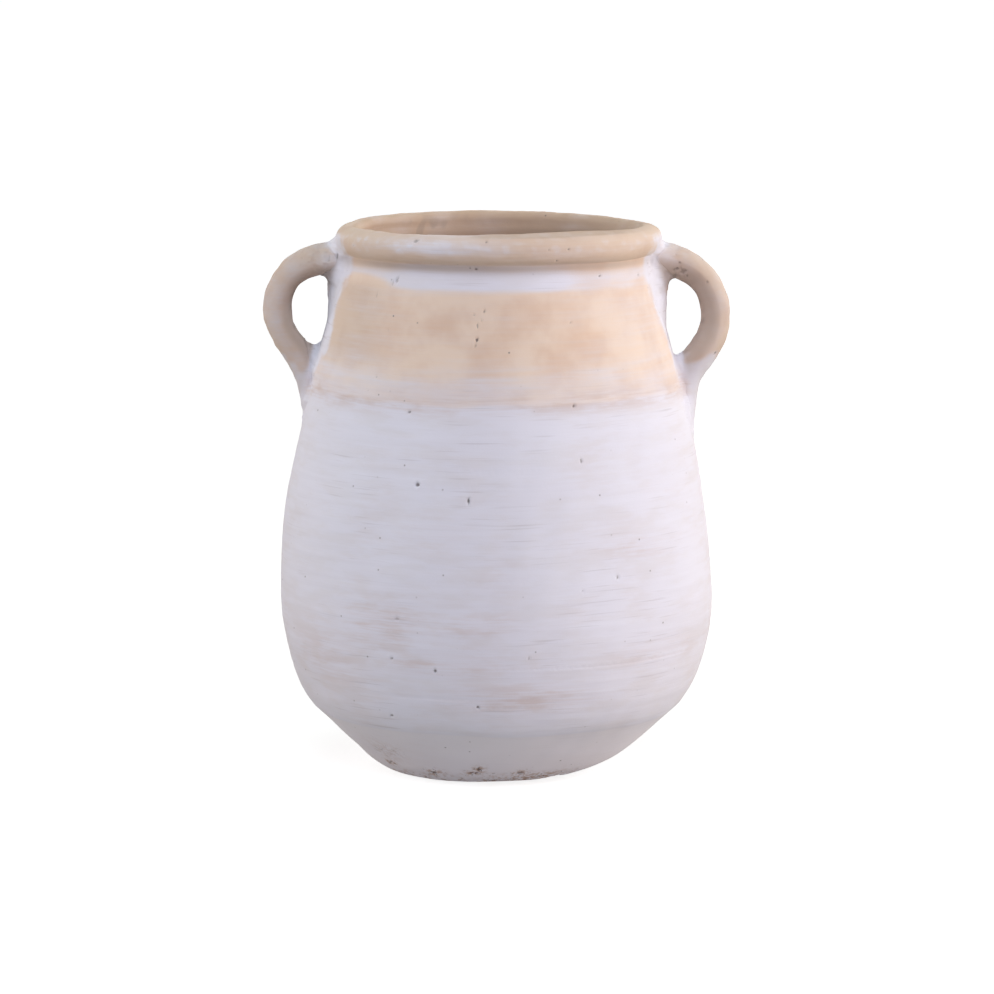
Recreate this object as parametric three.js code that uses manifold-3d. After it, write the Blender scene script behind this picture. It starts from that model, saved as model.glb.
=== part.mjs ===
// A whitewashed terracotta vase with a rolled rim and two pulled loop handles.
// Units are millimetres and +Z is up. The origin is the middle of the foot, on the table,
// and the handles point along +X and -X.
//
// The vase is built as a potter builds it: a floor slab, three wall rings that sit on each
// other in stepped joints, a rim coil, two straps and four wads of soft luting clay.

import * as THREE from 'three';
import { mergeVertices } from 'three/addons/utils/BufferGeometryUtils.js';
import Module from 'manifold-3d';

// Height over the rim
const HEIGHT = 305;

// Foot and trimmed cone
const FOOT_FLAT_RADIUS = 44.7;
const FOOT_EDGE_ROUND = 42.4;
const CONE_ANGLE = THREE.MathUtils.degToRad(42.3);
const TURN_HEIGHT = 35.5;

// Widest point of the belly, and how far its curve runs on straight from each end
const BELLY_RADIUS = 120.5;
const BELLY_HEIGHT = 100;
const BELLY_PULL_AT_TURN = 21.4;
const BELLY_PULL_BELOW = 15;
const BELLY_PULL_ABOVE = 35.7;

// A point on the straight part of the shoulder, set in from the belly. The taper is inwards
// for each upwards.
const SHOULDER_SET_IN = 12.8;
const SHOULDER_HEIGHT = 196;
const SHOULDER_TAPER = 0.216;
const SHOULDER_PULL_BELOW = 35.7;
const SHOULDER_PULL_ABOVE = 38.7;

// Neck, the narrow band under the rim roll, set in from the shoulder's point
const NECK_SET_IN = 22.3;
const NECK_BAND = 4.5;
const NECK_PULL = 4.3;

// Rim roll: how far it stands out over the neck, and how far in its crest lies
const ROLL_OVERHANG = 5.8;
const ROLL_DEPTH = 15.5;
const ROLL_UPPER_HALF = 7.3;
const CREST_SET_IN = 9.7;
const LIP_DEPTH = 5.5;

// Clay thicknesses
const WALL = 8.4;
const FLOOR = 10;

// Height of the joint between the two thrown wall rings
const BELLY_JOINT_HEIGHT = 150;

// Stepped joint between two rings: the lower one has a tongue on its inner half
const TONGUE = 3;
const JOINT_CLEARANCE = 0.3;

// Handles: a strap of lens section, thick along its path's normal and wide across it. The
// loop's outside stands out from the neck's face. Heights are measured down from the rim.
// A fade is the share of the upper curve along which the stouter root runs out.
const HANDLE_STAND_OUT = 45.9;
const HANDLE_THICKNESS = 16.6;
const HANDLE_ROOT_THICKNESS = 18.6;
const HANDLE_WIDTH = 25;
const HANDLE_ROOT_WIDTH = 29;
const HANDLE_ROOT_BELOW_RIM = 17.5;
const HANDLE_CREST_BELOW_RIM = 48.5;
const HANDLE_FOOT_BELOW_RIM = 91;
const HANDLE_ROOT_DROOP = 0.12;
const HANDLE_FOOT_LEAN = 0.42;
const HANDLE_PULL_AT_ROOT = 28.5;
const HANDLE_PULL_OVER_CREST = 18;
const HANDLE_PULL_UNDER_CREST = 15;
const HANDLE_PULL_AT_FOOT = 16;
const HANDLE_BURIED = 5;
const ROOT_THICKNESS_FADE = 0.5;
const ROOT_WIDTH_FADE = 0.7;
const STRAP_RIDGE = 1.4;

// Luting wads: how proud of the wall, how wide, and how far above and below their middle
const UPPER_WAD = { proud: 12, halfWidth: 26, above: 10, below: 36, belowRim: 19.5 };
const LOWER_WAD = { proud: 12.5, halfWidth: 21, above: 15, below: 26, belowRim: 83 };
const WAD_LIP = 1.2;
const WAD_END_HALF_WIDTH = 9;
const WAD_HOLLOWNESS = 2.2;

// Clearance between a piece and the curved face that it is luted to
const LUTING_GAP = 0.3;

// Facets
const LATHE_SEGMENTS = 52;
const FOOT_STEPS = 6;
const WALL_STEPS = 7;
const ROLL_STEPS = 4;
const STRAP_SIDES = 16;
const STRAP_STEPS = 13;
const WAD_SIDES = 20;
const WAD_STEPS = 7;

// Points nearer than this are one point, and heights nearer than this are one height
const SAME_POINT = 1e-4;
const SAME_HEIGHT = 1e-3;

// Worked-out heights and radii
const SHOULDER_RADIUS = BELLY_RADIUS - SHOULDER_SET_IN;
const NECK_RADIUS = SHOULDER_RADIUS - NECK_SET_IN;
const ROLL_RADIUS = NECK_RADIUS + ROLL_OVERHANG;
const CREST_RADIUS = ROLL_RADIUS - CREST_SET_IN;
const HANDLE_REACH = NECK_RADIUS + HANDLE_STAND_OUT;
const ROLL_BOTTOM = HEIGHT - ROLL_DEPTH;
const ROLL_MIDDLE = HEIGHT - ROLL_UPPER_HALF;
const NECK_HEIGHT = ROLL_BOTTOM - NECK_BAND;
const MOUTH_RADIUS = NECK_RADIUS - WALL;
const UP = new THREE.Vector2(0, 1);

const wasm = await Module();
wasm.setup();

// Materials, one for each finish of the clay

function clay(color, roughness) {
  return new THREE.MeshStandardMaterial({ color, roughness, metalness: 0 });
}

const slipClay = () => clay(0xdcd6dc, 0.92);
const greySlipClay = () => clay(0xc6bfc4, 0.94);
const bareClay = () => clay(0xe2cbb6, 0.9);
const handleClay = () => clay(0xc9b8ab, 0.9);

// Outlines, as points (radius, height) from the bottom up

// Points along joined curves, each with its own number of steps
function traced(curves) {
  const points = [curves[0].curve.getPoint(0)];
  for (const { curve, steps } of curves) points.push(...curve.getPoints(steps).slice(1));
  return points;
}

// A point some way along a direction
function onwards(point, direction, distance) {
  return point.clone().addScaledVector(direction, distance);
}

// A quarter or a part of an ellipse, between two angles from straight outwards
function ellipse(centre, radius, halfHeight, from, to) {
  return new THREE.EllipseCurve(centre.x, centre.y, radius, halfHeight, from, to);
}

// Outside of the body from the flat of the foot to the neck, and straight on up behind the roll
function bodyOutline() {
  const coneWay = new THREE.Vector2(Math.cos(CONE_ANGLE), Math.sin(CONE_ANGLE));
  const shoulderWay = new THREE.Vector2(-SHOULDER_TAPER, 1).normalize();
  const footCentre = new THREE.Vector2(FOOT_FLAT_RADIUS, FOOT_EDGE_ROUND);
  const footEdge = ellipse(
    footCentre, FOOT_EDGE_ROUND, FOOT_EDGE_ROUND, -Math.PI / 2, CONE_ANGLE - Math.PI / 2,
  );
  const coneStart = footEdge.getPoint(1);
  const turn = onwards(coneStart, coneWay, (TURN_HEIGHT - coneStart.y) / coneWay.y);
  const belly = new THREE.Vector2(BELLY_RADIUS, BELLY_HEIGHT);
  const shoulder = new THREE.Vector2(SHOULDER_RADIUS, SHOULDER_HEIGHT);
  const neck = new THREE.Vector2(NECK_RADIUS, NECK_HEIGHT);
  const belowBelly = new THREE.CubicBezierCurve(
    turn, onwards(turn, coneWay, BELLY_PULL_AT_TURN), onwards(belly, UP, -BELLY_PULL_BELOW), belly,
  );
  const aboveBelly = new THREE.CubicBezierCurve(
    belly, onwards(belly, UP, BELLY_PULL_ABOVE),
    onwards(shoulder, shoulderWay, -SHOULDER_PULL_BELOW), shoulder,
  );
  const underNeck = new THREE.CubicBezierCurve(
    shoulder, onwards(shoulder, shoulderWay, SHOULDER_PULL_ABOVE), onwards(neck, UP, -NECK_PULL), neck,
  );
  return traced([
    { curve: footEdge, steps: FOOT_STEPS },
    { curve: new THREE.LineCurve(coneStart, turn), steps: 1 },
    { curve: belowBelly, steps: WALL_STEPS },
    { curve: aboveBelly, steps: WALL_STEPS },
    { curve: underNeck, steps: WALL_STEPS },
    { curve: new THREE.LineCurve(neck, new THREE.Vector2(NECK_RADIUS, HEIGHT)), steps: 1 },
  ]);
}

// Outside of the rim coil, from the neck round the roll to the inside of the lip
function rollOutline() {
  const neck = new THREE.Vector2(NECK_RADIUS, NECK_HEIGHT);
  const underRoll = new THREE.Vector2(NECK_RADIUS, ROLL_BOTTOM);
  const rollMiddle = new THREE.Vector2(NECK_RADIUS, ROLL_MIDDLE);
  const crestMiddle = new THREE.Vector2(CREST_RADIUS, ROLL_MIDDLE);
  const lipMiddle = new THREE.Vector2(CREST_RADIUS, HEIGHT - LIP_DEPTH);
  const quarter = Math.PI / 2;
  const under = ellipse(rollMiddle, ROLL_RADIUS - NECK_RADIUS, ROLL_MIDDLE - ROLL_BOTTOM, -quarter, 0);
  const over = ellipse(crestMiddle, ROLL_RADIUS - CREST_RADIUS, ROLL_UPPER_HALF, 0, quarter);
  const lip = ellipse(lipMiddle, CREST_RADIUS - MOUTH_RADIUS, LIP_DEPTH, quarter, 2 * quarter);
  return traced([
    { curve: new THREE.LineCurve(neck, underRoll), steps: 1 },
    { curve: under, steps: ROLL_STEPS },
    { curve: over, steps: ROLL_STEPS },
    { curve: lip, steps: ROLL_STEPS },
  ]);
}

// The outline moved sideways by a distance, outwards if it is positive
function offsetOutline(outline, distance) {
  return outline.map((point, i) => {
    const before = outline[Math.max(i - 1, 0)];
    const after = outline[Math.min(i + 1, outline.length - 1)];
    const along = after.clone().sub(before).normalize();
    return new THREE.Vector2(point.x + along.y * distance, point.y - along.x * distance);
  });
}

// Radius of an outline at a height, between the two points on either side
function radiusAt(outline, height) {
  const above = Math.max(1, outline.findIndex((point) => point.y >= height));
  const [a, b] = [outline[above - 1], outline[above]];
  return THREE.MathUtils.lerp(a.x, b.x, (height - a.y) / (b.y - a.y));
}

// The stretch of an outline between two heights, with its ends worked out
function stretch(outline, low, high) {
  const between = outline.filter((point) => point.y > low + SAME_HEIGHT && point.y < high - SAME_HEIGHT);
  return [
    new THREE.Vector2(radiusAt(outline, low), low),
    ...between,
    new THREE.Vector2(radiusAt(outline, high), high),
  ];
}

// Solids

function withoutRepeats(geometry) {
  const bare = geometry.clone();
  bare.deleteAttribute('normal');
  bare.deleteAttribute('uv');
  return mergeVertices(bare, SAME_POINT);
}

// Faces that a pole has pinched to nothing are left out
function toSolid(geometry) {
  const merged = withoutRepeats(geometry);
  const corners = merged.index.array;
  const faces = [];
  for (let i = 0; i < corners.length; i += 3) {
    const [a, b, c] = [corners[i], corners[i + 1], corners[i + 2]];
    if (a !== b && b !== c && c !== a) faces.push(a, b, c);
  }
  return new wasm.Manifold(new wasm.Mesh({
    numProp: 3,
    vertProperties: new Float32Array(merged.attributes.position.array),
    triVerts: new Uint32Array(faces),
  }));
}

function toGeometry(solid) {
  const mesh = solid.getMesh();
  const geometry = new THREE.BufferGeometry();
  geometry.setAttribute('position', new THREE.BufferAttribute(mesh.vertProperties, 3));
  geometry.setIndex(new THREE.BufferAttribute(mesh.triVerts, 1));
  geometry.computeVertexNormals();
  return geometry;
}

// A closed profile turned on the wheel
function turned(profile) {
  return new THREE.LatheGeometry(profile, LATHE_SEGMENTS).rotateX(Math.PI / 2);
}

// A closed loft through rings of points, each ring with as many points and a flat cap at each end
function loft(rings) {
  const sides = rings[0].length;
  const positions = rings.flat();
  const faces = [];
  for (let ring = 0; ring < rings.length - 1; ring += 1) {
    for (let side = 0; side < sides; side += 1) {
      const next = (side + 1) % sides;
      const [a, b] = [ring * sides + side, ring * sides + next];
      faces.push(a, b, b + sides, a, b + sides, a + sides);
    }
  }
  const last = (rings.length - 1) * sides;
  for (let side = 1; side < sides - 1; side += 1) {
    faces.push(0, side + 1, side, last, last + side, last + side + 1);
  }
  const geometry = new THREE.BufferGeometry().setFromPoints(positions);
  geometry.setIndex(faces);
  return geometry;
}

// Body

const body = bodyOutline();
const inside = offsetOutline(body, -WALL);

// Radius of the step in the joint at a height, half way through the wall
function stepRadius(height) {
  return (radiusAt(body, height) + radiusAt(inside, height)) / 2;
}

// Top face of a ring, from outside to inside, with the tongue on its inner half
function tongueFace(height) {
  const step = stepRadius(height) - JOINT_CLEARANCE / 2;
  return [new THREE.Vector2(step, height), new THREE.Vector2(step, height + TONGUE)];
}

// Bottom face of a ring, from inside to outside, with the rebate over the tongue
function rebateFace(height) {
  const step = stepRadius(height) + JOINT_CLEARANCE / 2;
  return [new THREE.Vector2(step, height + TONGUE + JOINT_CLEARANCE), new THREE.Vector2(step, height)];
}

// A wall ring between two joints. The lowest one stands flat on the floor slab.
function wallRing(low, high, standsFlat) {
  const insideLow = standsFlat ? low : low + TONGUE + JOINT_CLEARANCE;
  const profile = [
    ...stretch(body, low, high),
    ...tongueFace(high),
    ...stretch(inside, insideLow, high + TONGUE).reverse(),
    ...(standsFlat ? [] : rebateFace(low)),
  ];
  return turned([...profile, profile[0]]);
}

// Floor slab: its edge is the worn round of the foot
function baseDisc() {
  return turned([new THREE.Vector2(0, 0), ...stretch(body, 0, FLOOR), new THREE.Vector2(0, FLOOR)]);
}

// Rim coil: its bottom face has the rebate for the tongue of the shoulder ring
function rimRoll() {
  const profile = [
    ...rollOutline(),
    new THREE.Vector2(MOUTH_RADIUS, NECK_HEIGHT + TONGUE + JOINT_CLEARANCE),
    ...rebateFace(NECK_HEIGHT),
  ];
  return turned([...profile, profile[0]]);
}

// Outer face from the belly to the crest of the roll
function outerFace() {
  const face = [...stretch(body, BELLY_HEIGHT, NECK_HEIGHT), ...rollOutline().slice(1)];
  const crest = face.findIndex((point) => point.y >= HEIGHT - SAME_HEIGHT);
  return face.slice(0, crest + 1);
}

// Everything inside the vase's outer face and the luting gap, which the straps and wads are cut to
function vaseSpace() {
  const grown = offsetOutline(outerFace(), LUTING_GAP);
  return toSolid(turned([
    new THREE.Vector2(0, grown[0].y),
    ...grown,
    new THREE.Vector2(0, grown.at(-1).y),
  ]));
}

// Handles

// Middle line of the right handle, as two curves in the plane through the vase's axis
function handlePath() {
  const rootHeight = HEIGHT - HANDLE_ROOT_BELOW_RIM;
  const footHeight = HEIGHT - HANDLE_FOOT_BELOW_RIM;
  const crest = new THREE.Vector2(HANDLE_REACH - HANDLE_THICKNESS / 2, HEIGHT - HANDLE_CREST_BELOW_RIM);
  const root = new THREE.Vector2(NECK_RADIUS - HANDLE_BURIED, rootHeight);
  const foot = new THREE.Vector2(radiusAt(body, footHeight) - HANDLE_BURIED, footHeight);
  const rootWay = new THREE.Vector2(1, -HANDLE_ROOT_DROOP).normalize();
  const footWay = new THREE.Vector2(HANDLE_FOOT_LEAN, 1).normalize();
  return [
    new THREE.CubicBezierCurve(
      root,
      root.clone().addScaledVector(rootWay, HANDLE_PULL_AT_ROOT),
      new THREE.Vector2(crest.x, crest.y + HANDLE_PULL_OVER_CREST),
      crest,
    ),
    new THREE.CubicBezierCurve(
      crest,
      new THREE.Vector2(crest.x, crest.y - HANDLE_PULL_UNDER_CREST),
      foot.clone().addScaledVector(footWay, HANDLE_PULL_AT_FOOT),
      foot,
    ),
  ];
}

// One ring of the strap: a lens whose two edges are soft ridges
function strapRing(point, along, thickness, width) {
  const ring = [];
  for (let side = 0; side < STRAP_SIDES; side += 1) {
    const angle = (2 * Math.PI * side) / STRAP_SIDES;
    const out = (thickness / 2) * Math.sign(Math.sin(angle)) * Math.abs(Math.sin(angle)) ** STRAP_RIDGE;
    ring.push(new THREE.Vector3(
      point.x - along.y * out,
      (width / 2) * Math.cos(angle),
      point.y + along.x * out,
    ));
  }
  return ring;
}

// From one value to another, and no further
function faded(from, to, share) {
  return THREE.MathUtils.lerp(from, to, Math.min(1, share));
}

// The strap, grown all round by a clearance. It is thickest and widest at the upper root.
function strap(clearance) {
  const [upper, lower] = handlePath();
  const rings = [];
  for (let step = 0; step <= STRAP_STEPS; step += 1) {
    const t = step / STRAP_STEPS;
    const thickness = faded(HANDLE_ROOT_THICKNESS, HANDLE_THICKNESS, t / ROOT_THICKNESS_FADE);
    const width = faded(HANDLE_ROOT_WIDTH, HANDLE_WIDTH, t / ROOT_WIDTH_FADE);
    rings.push(strapRing(
      upper.getPoint(t), upper.getTangent(t), thickness + 2 * clearance, width + 2 * clearance,
    ));
  }
  for (let step = 1; step <= STRAP_STEPS; step += 1) {
    const t = step / STRAP_STEPS;
    rings.push(strapRing(
      lower.getPoint(t), lower.getTangent(t), HANDLE_THICKNESS + 2 * clearance, HANDLE_WIDTH + 2 * clearance,
    ));
  }
  return toSolid(loft(rings));
}

// Luting wads

// A wad is wrapped round the wall, with its middle surface in the wall's face. Above its
// middle it is blunt, and below it is drawn out into a tail that thins in a straight line.
function wad(size) {
  const wallLine = outerFace();
  const rings = [];
  for (let step = -WAD_STEPS; step <= WAD_STEPS; step += 1) {
    const away = step / WAD_STEPS;
    const lift = away > 0 ? size.above * Math.sin((Math.PI / 2) * away) : size.below * away;
    const share = away > 0 ? Math.cos((Math.PI / 2) * away) : 1 + away;
    const height = HEIGHT - size.belowRim + lift;
    const proud = THREE.MathUtils.lerp(WAD_LIP, size.proud, share);
    const halfWidth = THREE.MathUtils.lerp(WAD_END_HALF_WIDTH, size.halfWidth, Math.sqrt(share));
    rings.push(wadRing(radiusAt(wallLine, height), height, proud, halfWidth));
  }
  return toSolid(loft(rings));
}

// A level section of a wad, bent round the vase's axis. Its skirt sweeps in hollow from the
// strap's sides and ends in a blunt lip on the wall.
function wadRing(wallRadius, height, proud, halfWidth) {
  const ring = [];
  for (let side = 0; side < WAD_SIDES; side += 1) {
    const angle = (2 * Math.PI * side) / WAD_SIDES;
    const rise = Math.abs(Math.cos(angle));
    const out = WAD_LIP * Math.sqrt(rise) + (proud - WAD_LIP) * rise ** WAD_HOLLOWNESS;
    const radius = wallRadius + Math.sign(Math.cos(angle)) * out;
    const round = (halfWidth * Math.sin(angle)) / wallRadius;
    ring.push(new THREE.Vector3(radius * Math.cos(round), radius * Math.sin(round), height));
  }
  return ring;
}

// Assembly

const vase = new THREE.Group();

function addPiece(parent, name, geometry, material) {
  const mesh = new THREE.Mesh(geometry, material);
  mesh.name = name;
  parent.add(mesh);
}

addPiece(vase, 'base_disc', baseDisc(), greySlipClay());
addPiece(vase, 'foot_wall', wallRing(FLOOR, TURN_HEIGHT, true), greySlipClay());
addPiece(vase, 'belly_wall', wallRing(TURN_HEIGHT, BELLY_JOINT_HEIGHT, false), slipClay());
addPiece(vase, 'shoulder_wall', wallRing(BELLY_JOINT_HEIGHT, NECK_HEIGHT, false), bareClay());
addPiece(vase, 'rim_roll', rimRoll(), bareClay());

const space = vaseSpace();
const strapSpace = strap(LUTING_GAP);
const handleSolid = strap(0).subtract(space);
const upperWadSolid = wad(UPPER_WAD).subtract(space).subtract(strapSpace);
const lowerWadSolid = wad(LOWER_WAD).subtract(space).subtract(strapSpace);

// The same handle and wads on each side, half a turn apart
for (const [side, turn] of [['right', 0], ['left', Math.PI]]) {
  const loop = new THREE.Group();
  loop.rotation.z = turn;
  addPiece(loop, `handle_${side}`, toGeometry(handleSolid), handleClay());
  addPiece(loop, `luting_upper_${side}`, toGeometry(upperWadSolid), slipClay());
  addPiece(loop, `luting_lower_${side}`, toGeometry(lowerWadSolid), slipClay());
  vase.add(loop);
}

export default vase;
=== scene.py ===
"""Looks of a whitewashed terracotta vase with a rolled rim and two pulled loop handles.

The vase is dressed piece by piece, as a potter makes it: a floor slab, a trimmed foot, two
thrown rings, a rolled rim, two straps and four skirts of luting clay. Sizes are millimetres
until a mesh is filled, +Z is up, and the handles point along +X and -X.
"""

import logging
import math
from collections.abc import Iterable
from dataclasses import dataclass, field
from enum import Enum

import bpy
import numpy as np
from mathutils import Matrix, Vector


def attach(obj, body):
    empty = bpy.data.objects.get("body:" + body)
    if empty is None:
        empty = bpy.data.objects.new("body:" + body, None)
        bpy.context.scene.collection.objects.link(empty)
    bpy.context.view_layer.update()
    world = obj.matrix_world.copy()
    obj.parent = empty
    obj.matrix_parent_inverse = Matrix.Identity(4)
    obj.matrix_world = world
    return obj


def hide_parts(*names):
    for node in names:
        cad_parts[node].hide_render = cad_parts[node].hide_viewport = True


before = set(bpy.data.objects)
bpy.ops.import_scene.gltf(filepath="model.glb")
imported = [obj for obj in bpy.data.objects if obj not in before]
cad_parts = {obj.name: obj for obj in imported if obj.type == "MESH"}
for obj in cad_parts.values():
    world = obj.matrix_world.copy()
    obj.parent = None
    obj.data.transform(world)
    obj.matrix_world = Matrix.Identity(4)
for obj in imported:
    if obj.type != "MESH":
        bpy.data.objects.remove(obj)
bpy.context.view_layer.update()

LOG = logging.getLogger("vase")
Array = np.ndarray
Pair = tuple[float, float]
Triple = tuple[float, float, float]

# Metres in a millimetre
MM = 0.001
QUARTER = math.pi / 2


# Numbers


def smooth_step(low: float, high: float, value: Array) -> Array:
    """Zero below low and one above high, with a level start and end between them."""
    share = np.clip((value - low) / (high - low), 0, 1)
    return share * share * (3 - 2 * share)


def fall(low: float, high: float, value: Array) -> Array:
    """One below low and zero above high, with a level start and end between them."""
    return 1 - smooth_step(low, high, value)


def plateau(rise: Pair, fade: Pair, value: Array) -> Array:
    """Up from zero to one over the first range, and down again over the second."""
    return smooth_step(*rise, value) * fall(*fade, value)


def bell(value: Array, middle: float, reach: float) -> Array:
    """One at the middle, falling off on both sides as a bell curve."""
    return np.exp(-(((value - middle) / reach) ** 2))


def bells(value: Array, table: Iterable[Triple]) -> Array:
    """Bell curves added up, each with its middle, its reach and its amount."""
    return sum(amount * bell(value, middle, reach) for middle, reach, amount in table)


def turn_from(angles: Array, middle: float) -> Array:
    """Degrees from a middle angle, between minus and plus 180."""
    turn = np.degrees(angles) - middle
    return turn - 360 * np.round(turn / 360)


def blend(start: Array, end: Array, share: Array) -> Array:
    """A value part of the way from a start to an end."""
    return start + (end - start) * share


def unit(vectors: Array) -> Array:
    """The vectors scaled to a length of one."""
    return vectors / np.maximum(np.linalg.norm(vectors, axis=-1, keepdims=True), 1e-9)


def ripple(points: Array, wavelength: float, seed: int, scale: Triple = (1.0, 1.0, 1.0)) -> Array:
    """Smooth noise about zero: ten plane sine waves in drawn directions, added up.

    Args:
        points: Places in millimetres, with x, y and z in the last axis.
        wavelength: Middle wavelength of the waves, in millimetres.
        seed: Start of the random draw, so that each use has its own waves.
        scale: Factors on x, y and z, small where the noise is drawn out.

    Returns:
        A value at each point, mostly between minus one and one.
    """
    draw = np.random.default_rng(seed)
    count = 10
    ways = unit(draw.normal(size=(count, 3)))
    ways *= (2 * math.pi / wavelength) * draw.uniform(0.6, 1.7, size=(count, 1))
    starts = draw.uniform(0, 2 * math.pi, size=count)
    places = points * np.array(scale)
    total = np.zeros(points.shape[:-1])
    for way, start in zip(ways, starts):
        total += np.sin(places @ way + start)
    return total / math.sqrt(count)


def cubic(ends: Iterable[Pair], count: int) -> Array:
    """Points at equal shares along a cubic Bezier curve: start, two pull points and end."""
    start, pull_out, pull_in, end = (np.asarray(point, float) for point in ends)
    share = np.linspace(0, 1, count + 1)[:, None]
    back = 1 - share
    near = back**3 * start + 3 * back**2 * share * pull_out
    return near + 3 * back * share**2 * pull_in + share**3 * end


def arc(centre: Pair, radii: Pair, turn: Pair, count: int) -> Array:
    """Points along part of an ellipse, between two angles from straight outwards, in radians."""
    angle = np.linspace(turn[0], turn[1], count + 1)
    out = centre[0] + radii[0] * np.cos(angle)
    up = centre[1] + radii[1] * np.sin(angle)
    return np.stack([out, up], axis=-1)


def joined(lines: Iterable[Array]) -> Array:
    """Lines end to end, without the repeated points where they meet."""
    parts = list(lines)
    return np.concatenate([parts[0]] + [part[1:] for part in parts[1:]])


def graded(start: float, stop: float, count: int, gathers: Iterable[Triple] = ()) -> Array:
    """Values from start to stop that crowd together at some places.

    The density is one plus a bell curve for each gather, and the values cut it in equal shares.

    Args:
        start: First value.
        stop: Last value.
        count: Number of steps.
        gathers: Middle, reach and weight of each crowded place.

    Returns:
        The values, one more than the steps.
    """
    fine = np.linspace(start, stop, 16 * count + 1)
    density = np.ones_like(fine) + bells(fine, gathers)
    total = np.concatenate([[0.0], np.cumsum((density[1:] + density[:-1]) / 2)])
    return np.interp(np.linspace(0, total[-1], count + 1), total, fine)


def grid_normals(points: Array) -> Array:
    """Normals of a grid that closes round its columns, from the differences between neighbours."""
    along = np.gradient(points, axis=0)
    around = np.roll(points, -1, axis=1) - np.roll(points, 1, axis=1)
    return unit(np.cross(around, along))


# Lines and grids


class ClayLine:
    """A line of points (radius, height) with the clay on its left, and its length along."""

    # Distance between the kept points, in millimetres
    STEP = 0.1

    def __init__(self, points: Array, softness: float = 0.0) -> None:
        """Measures the line, and rounds its corners.

        Args:
            points: Points (radius, height) in order.
            softness: Half the length over which each point is averaged, in millimetres.
        """
        steps = np.linalg.norm(np.diff(points, axis=0), axis=1)
        raw = np.concatenate([[0.0], np.cumsum(steps)])
        even = np.append(np.arange(0, raw[-1], self.STEP), raw[-1])
        self.points = np.stack([np.interp(even, raw, points[:, axis]) for axis in (0, 1)], axis=-1)
        if softness > 0:
            reach = max(1, round(softness / self.STEP))
            width = 2 * reach + 1
            for _ in range(2):
                padded = np.pad(self.points, ((reach, reach), (0, 0)), mode="reflect", reflect_type="odd")
                sums = np.cumsum(np.vstack([np.zeros((1, 2)), padded]), axis=0)
                self.points = (sums[width:] - sums[:-width]) / width
        self.length = even
        way = unit(np.gradient(self.points, axis=0))
        self.out = np.stack([way[:, 1], -way[:, 0]], axis=-1)

    def at(self, length: Array) -> tuple[Array, Array, Array, Array]:
        """Radius, height, and the radius and height parts of the way out of the clay, at lengths."""
        columns = (*self.points.T, *self.out.T)
        return tuple(np.interp(length, self.length, column) for column in columns)

    def length_at(self, height: Array, low: float, high: float) -> Array:
        """Length at which the line reaches a height, on its stretch between two lengths."""
        part = (self.length >= low - self.STEP / 2) & (self.length <= high + self.STEP / 2)
        heights = self.points[part, 1]
        order = np.argsort(heights, kind="stable")
        return np.interp(height, heights[order], self.length[part][order])


@dataclass
class Grid:
    """Rows of points round a closed form, with what is painted on them.

    The rows run round a section of the clay and the columns run round the form. A band is the
    strip between two rows. A shown band takes the points' own normals, a hidden one is flat.
    """

    points: Array
    normals: Array
    shown: Array
    tints: dict[str, Array]
    poles: bool = False

    def corners(self) -> tuple[Array, Array, Array]:
        """Faces of the grid.

        Returns:
            The corner indices of the four-sided faces, those of the three-sided ones at the
            poles, and the normal at each corner of them all, in that order.
        """
        rows, columns = self.points.shape[:2]
        index = np.arange(rows * columns).reshape(rows, columns)
        low = np.arange(1, rows - 2) if self.poles else np.arange(rows)
        high = (low + 1) % rows
        side = np.roll(index, -1, axis=1)
        quads = np.stack([index[low], side[low], side[high], index[high]], axis=-1)
        own = self.normals
        beside = np.roll(own, -1, axis=1)
        smooth = np.stack([own[low], beside[low], beside[high], own[high]], axis=2)
        corner = self.points.reshape(-1, 3)[quads]
        flat = unit(np.cross(corner[:, :, 2] - corner[:, :, 0], corner[:, :, 3] - corner[:, :, 1]))
        shown = self.shown[low][:, None, None, None]
        normals = [np.where(shown, smooth, flat[:, :, None, :]).reshape(-1, 3)]
        tips = np.zeros((0, 3), int)
        if self.poles:
            first = np.full(columns, index[0, 0])
            last = np.full(columns, index[-1, 0])
            tips = np.concatenate([
                np.stack([first, side[1], index[1]], axis=-1),
                np.stack([index[-2], side[-2], last], axis=-1),
            ])
            normals.append(np.stack([own[0], beside[1], own[1]], axis=1).reshape(-1, 3))
            normals.append(np.stack([own[-2], beside[-2], own[-1]], axis=1).reshape(-1, 3))
        return quads.reshape(-1, 4), tips, np.concatenate(normals)

    def to_object(self, name: str) -> bpy.types.Object:
        """Fills a mesh with the grid and puts it in the scene.

        Args:
            name: Name of the object and its mesh.

        Returns:
            The object, which stands at the origin.
        """
        quads, tips, normals = self.corners()
        used, order = np.unique(np.concatenate([quads.ravel(), tips.ravel()]), return_inverse=True)
        places = (self.points.reshape(-1, 3)[used] * MM).astype(np.float32)
        starts = np.concatenate([4 * np.arange(len(quads)), 4 * len(quads) + 3 * np.arange(len(tips))])
        mesh = bpy.data.meshes.new(name)
        mesh.vertices.add(len(used))
        mesh.vertices.foreach_set("co", places.ravel())
        mesh.loops.add(len(order))
        mesh.loops.foreach_set("vertex_index", order.astype(np.int32).ravel())
        mesh.polygons.add(len(starts))
        mesh.polygons.foreach_set("loop_start", starts.astype(np.int32))
        mesh.update(calc_edges=True)
        mesh.shade_smooth()
        mesh.normals_split_custom_set(normals.tolist())
        for tint, values in self.tints.items():
            layer = mesh.attributes.new(tint, "FLOAT", "POINT")
            layer.data.foreach_set("value", values.reshape(-1)[used].astype(np.float32))
        made = bpy.data.objects.new(name, mesh)
        bpy.context.scene.collection.objects.link(made)
        return made


# Wall of the vase


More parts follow.
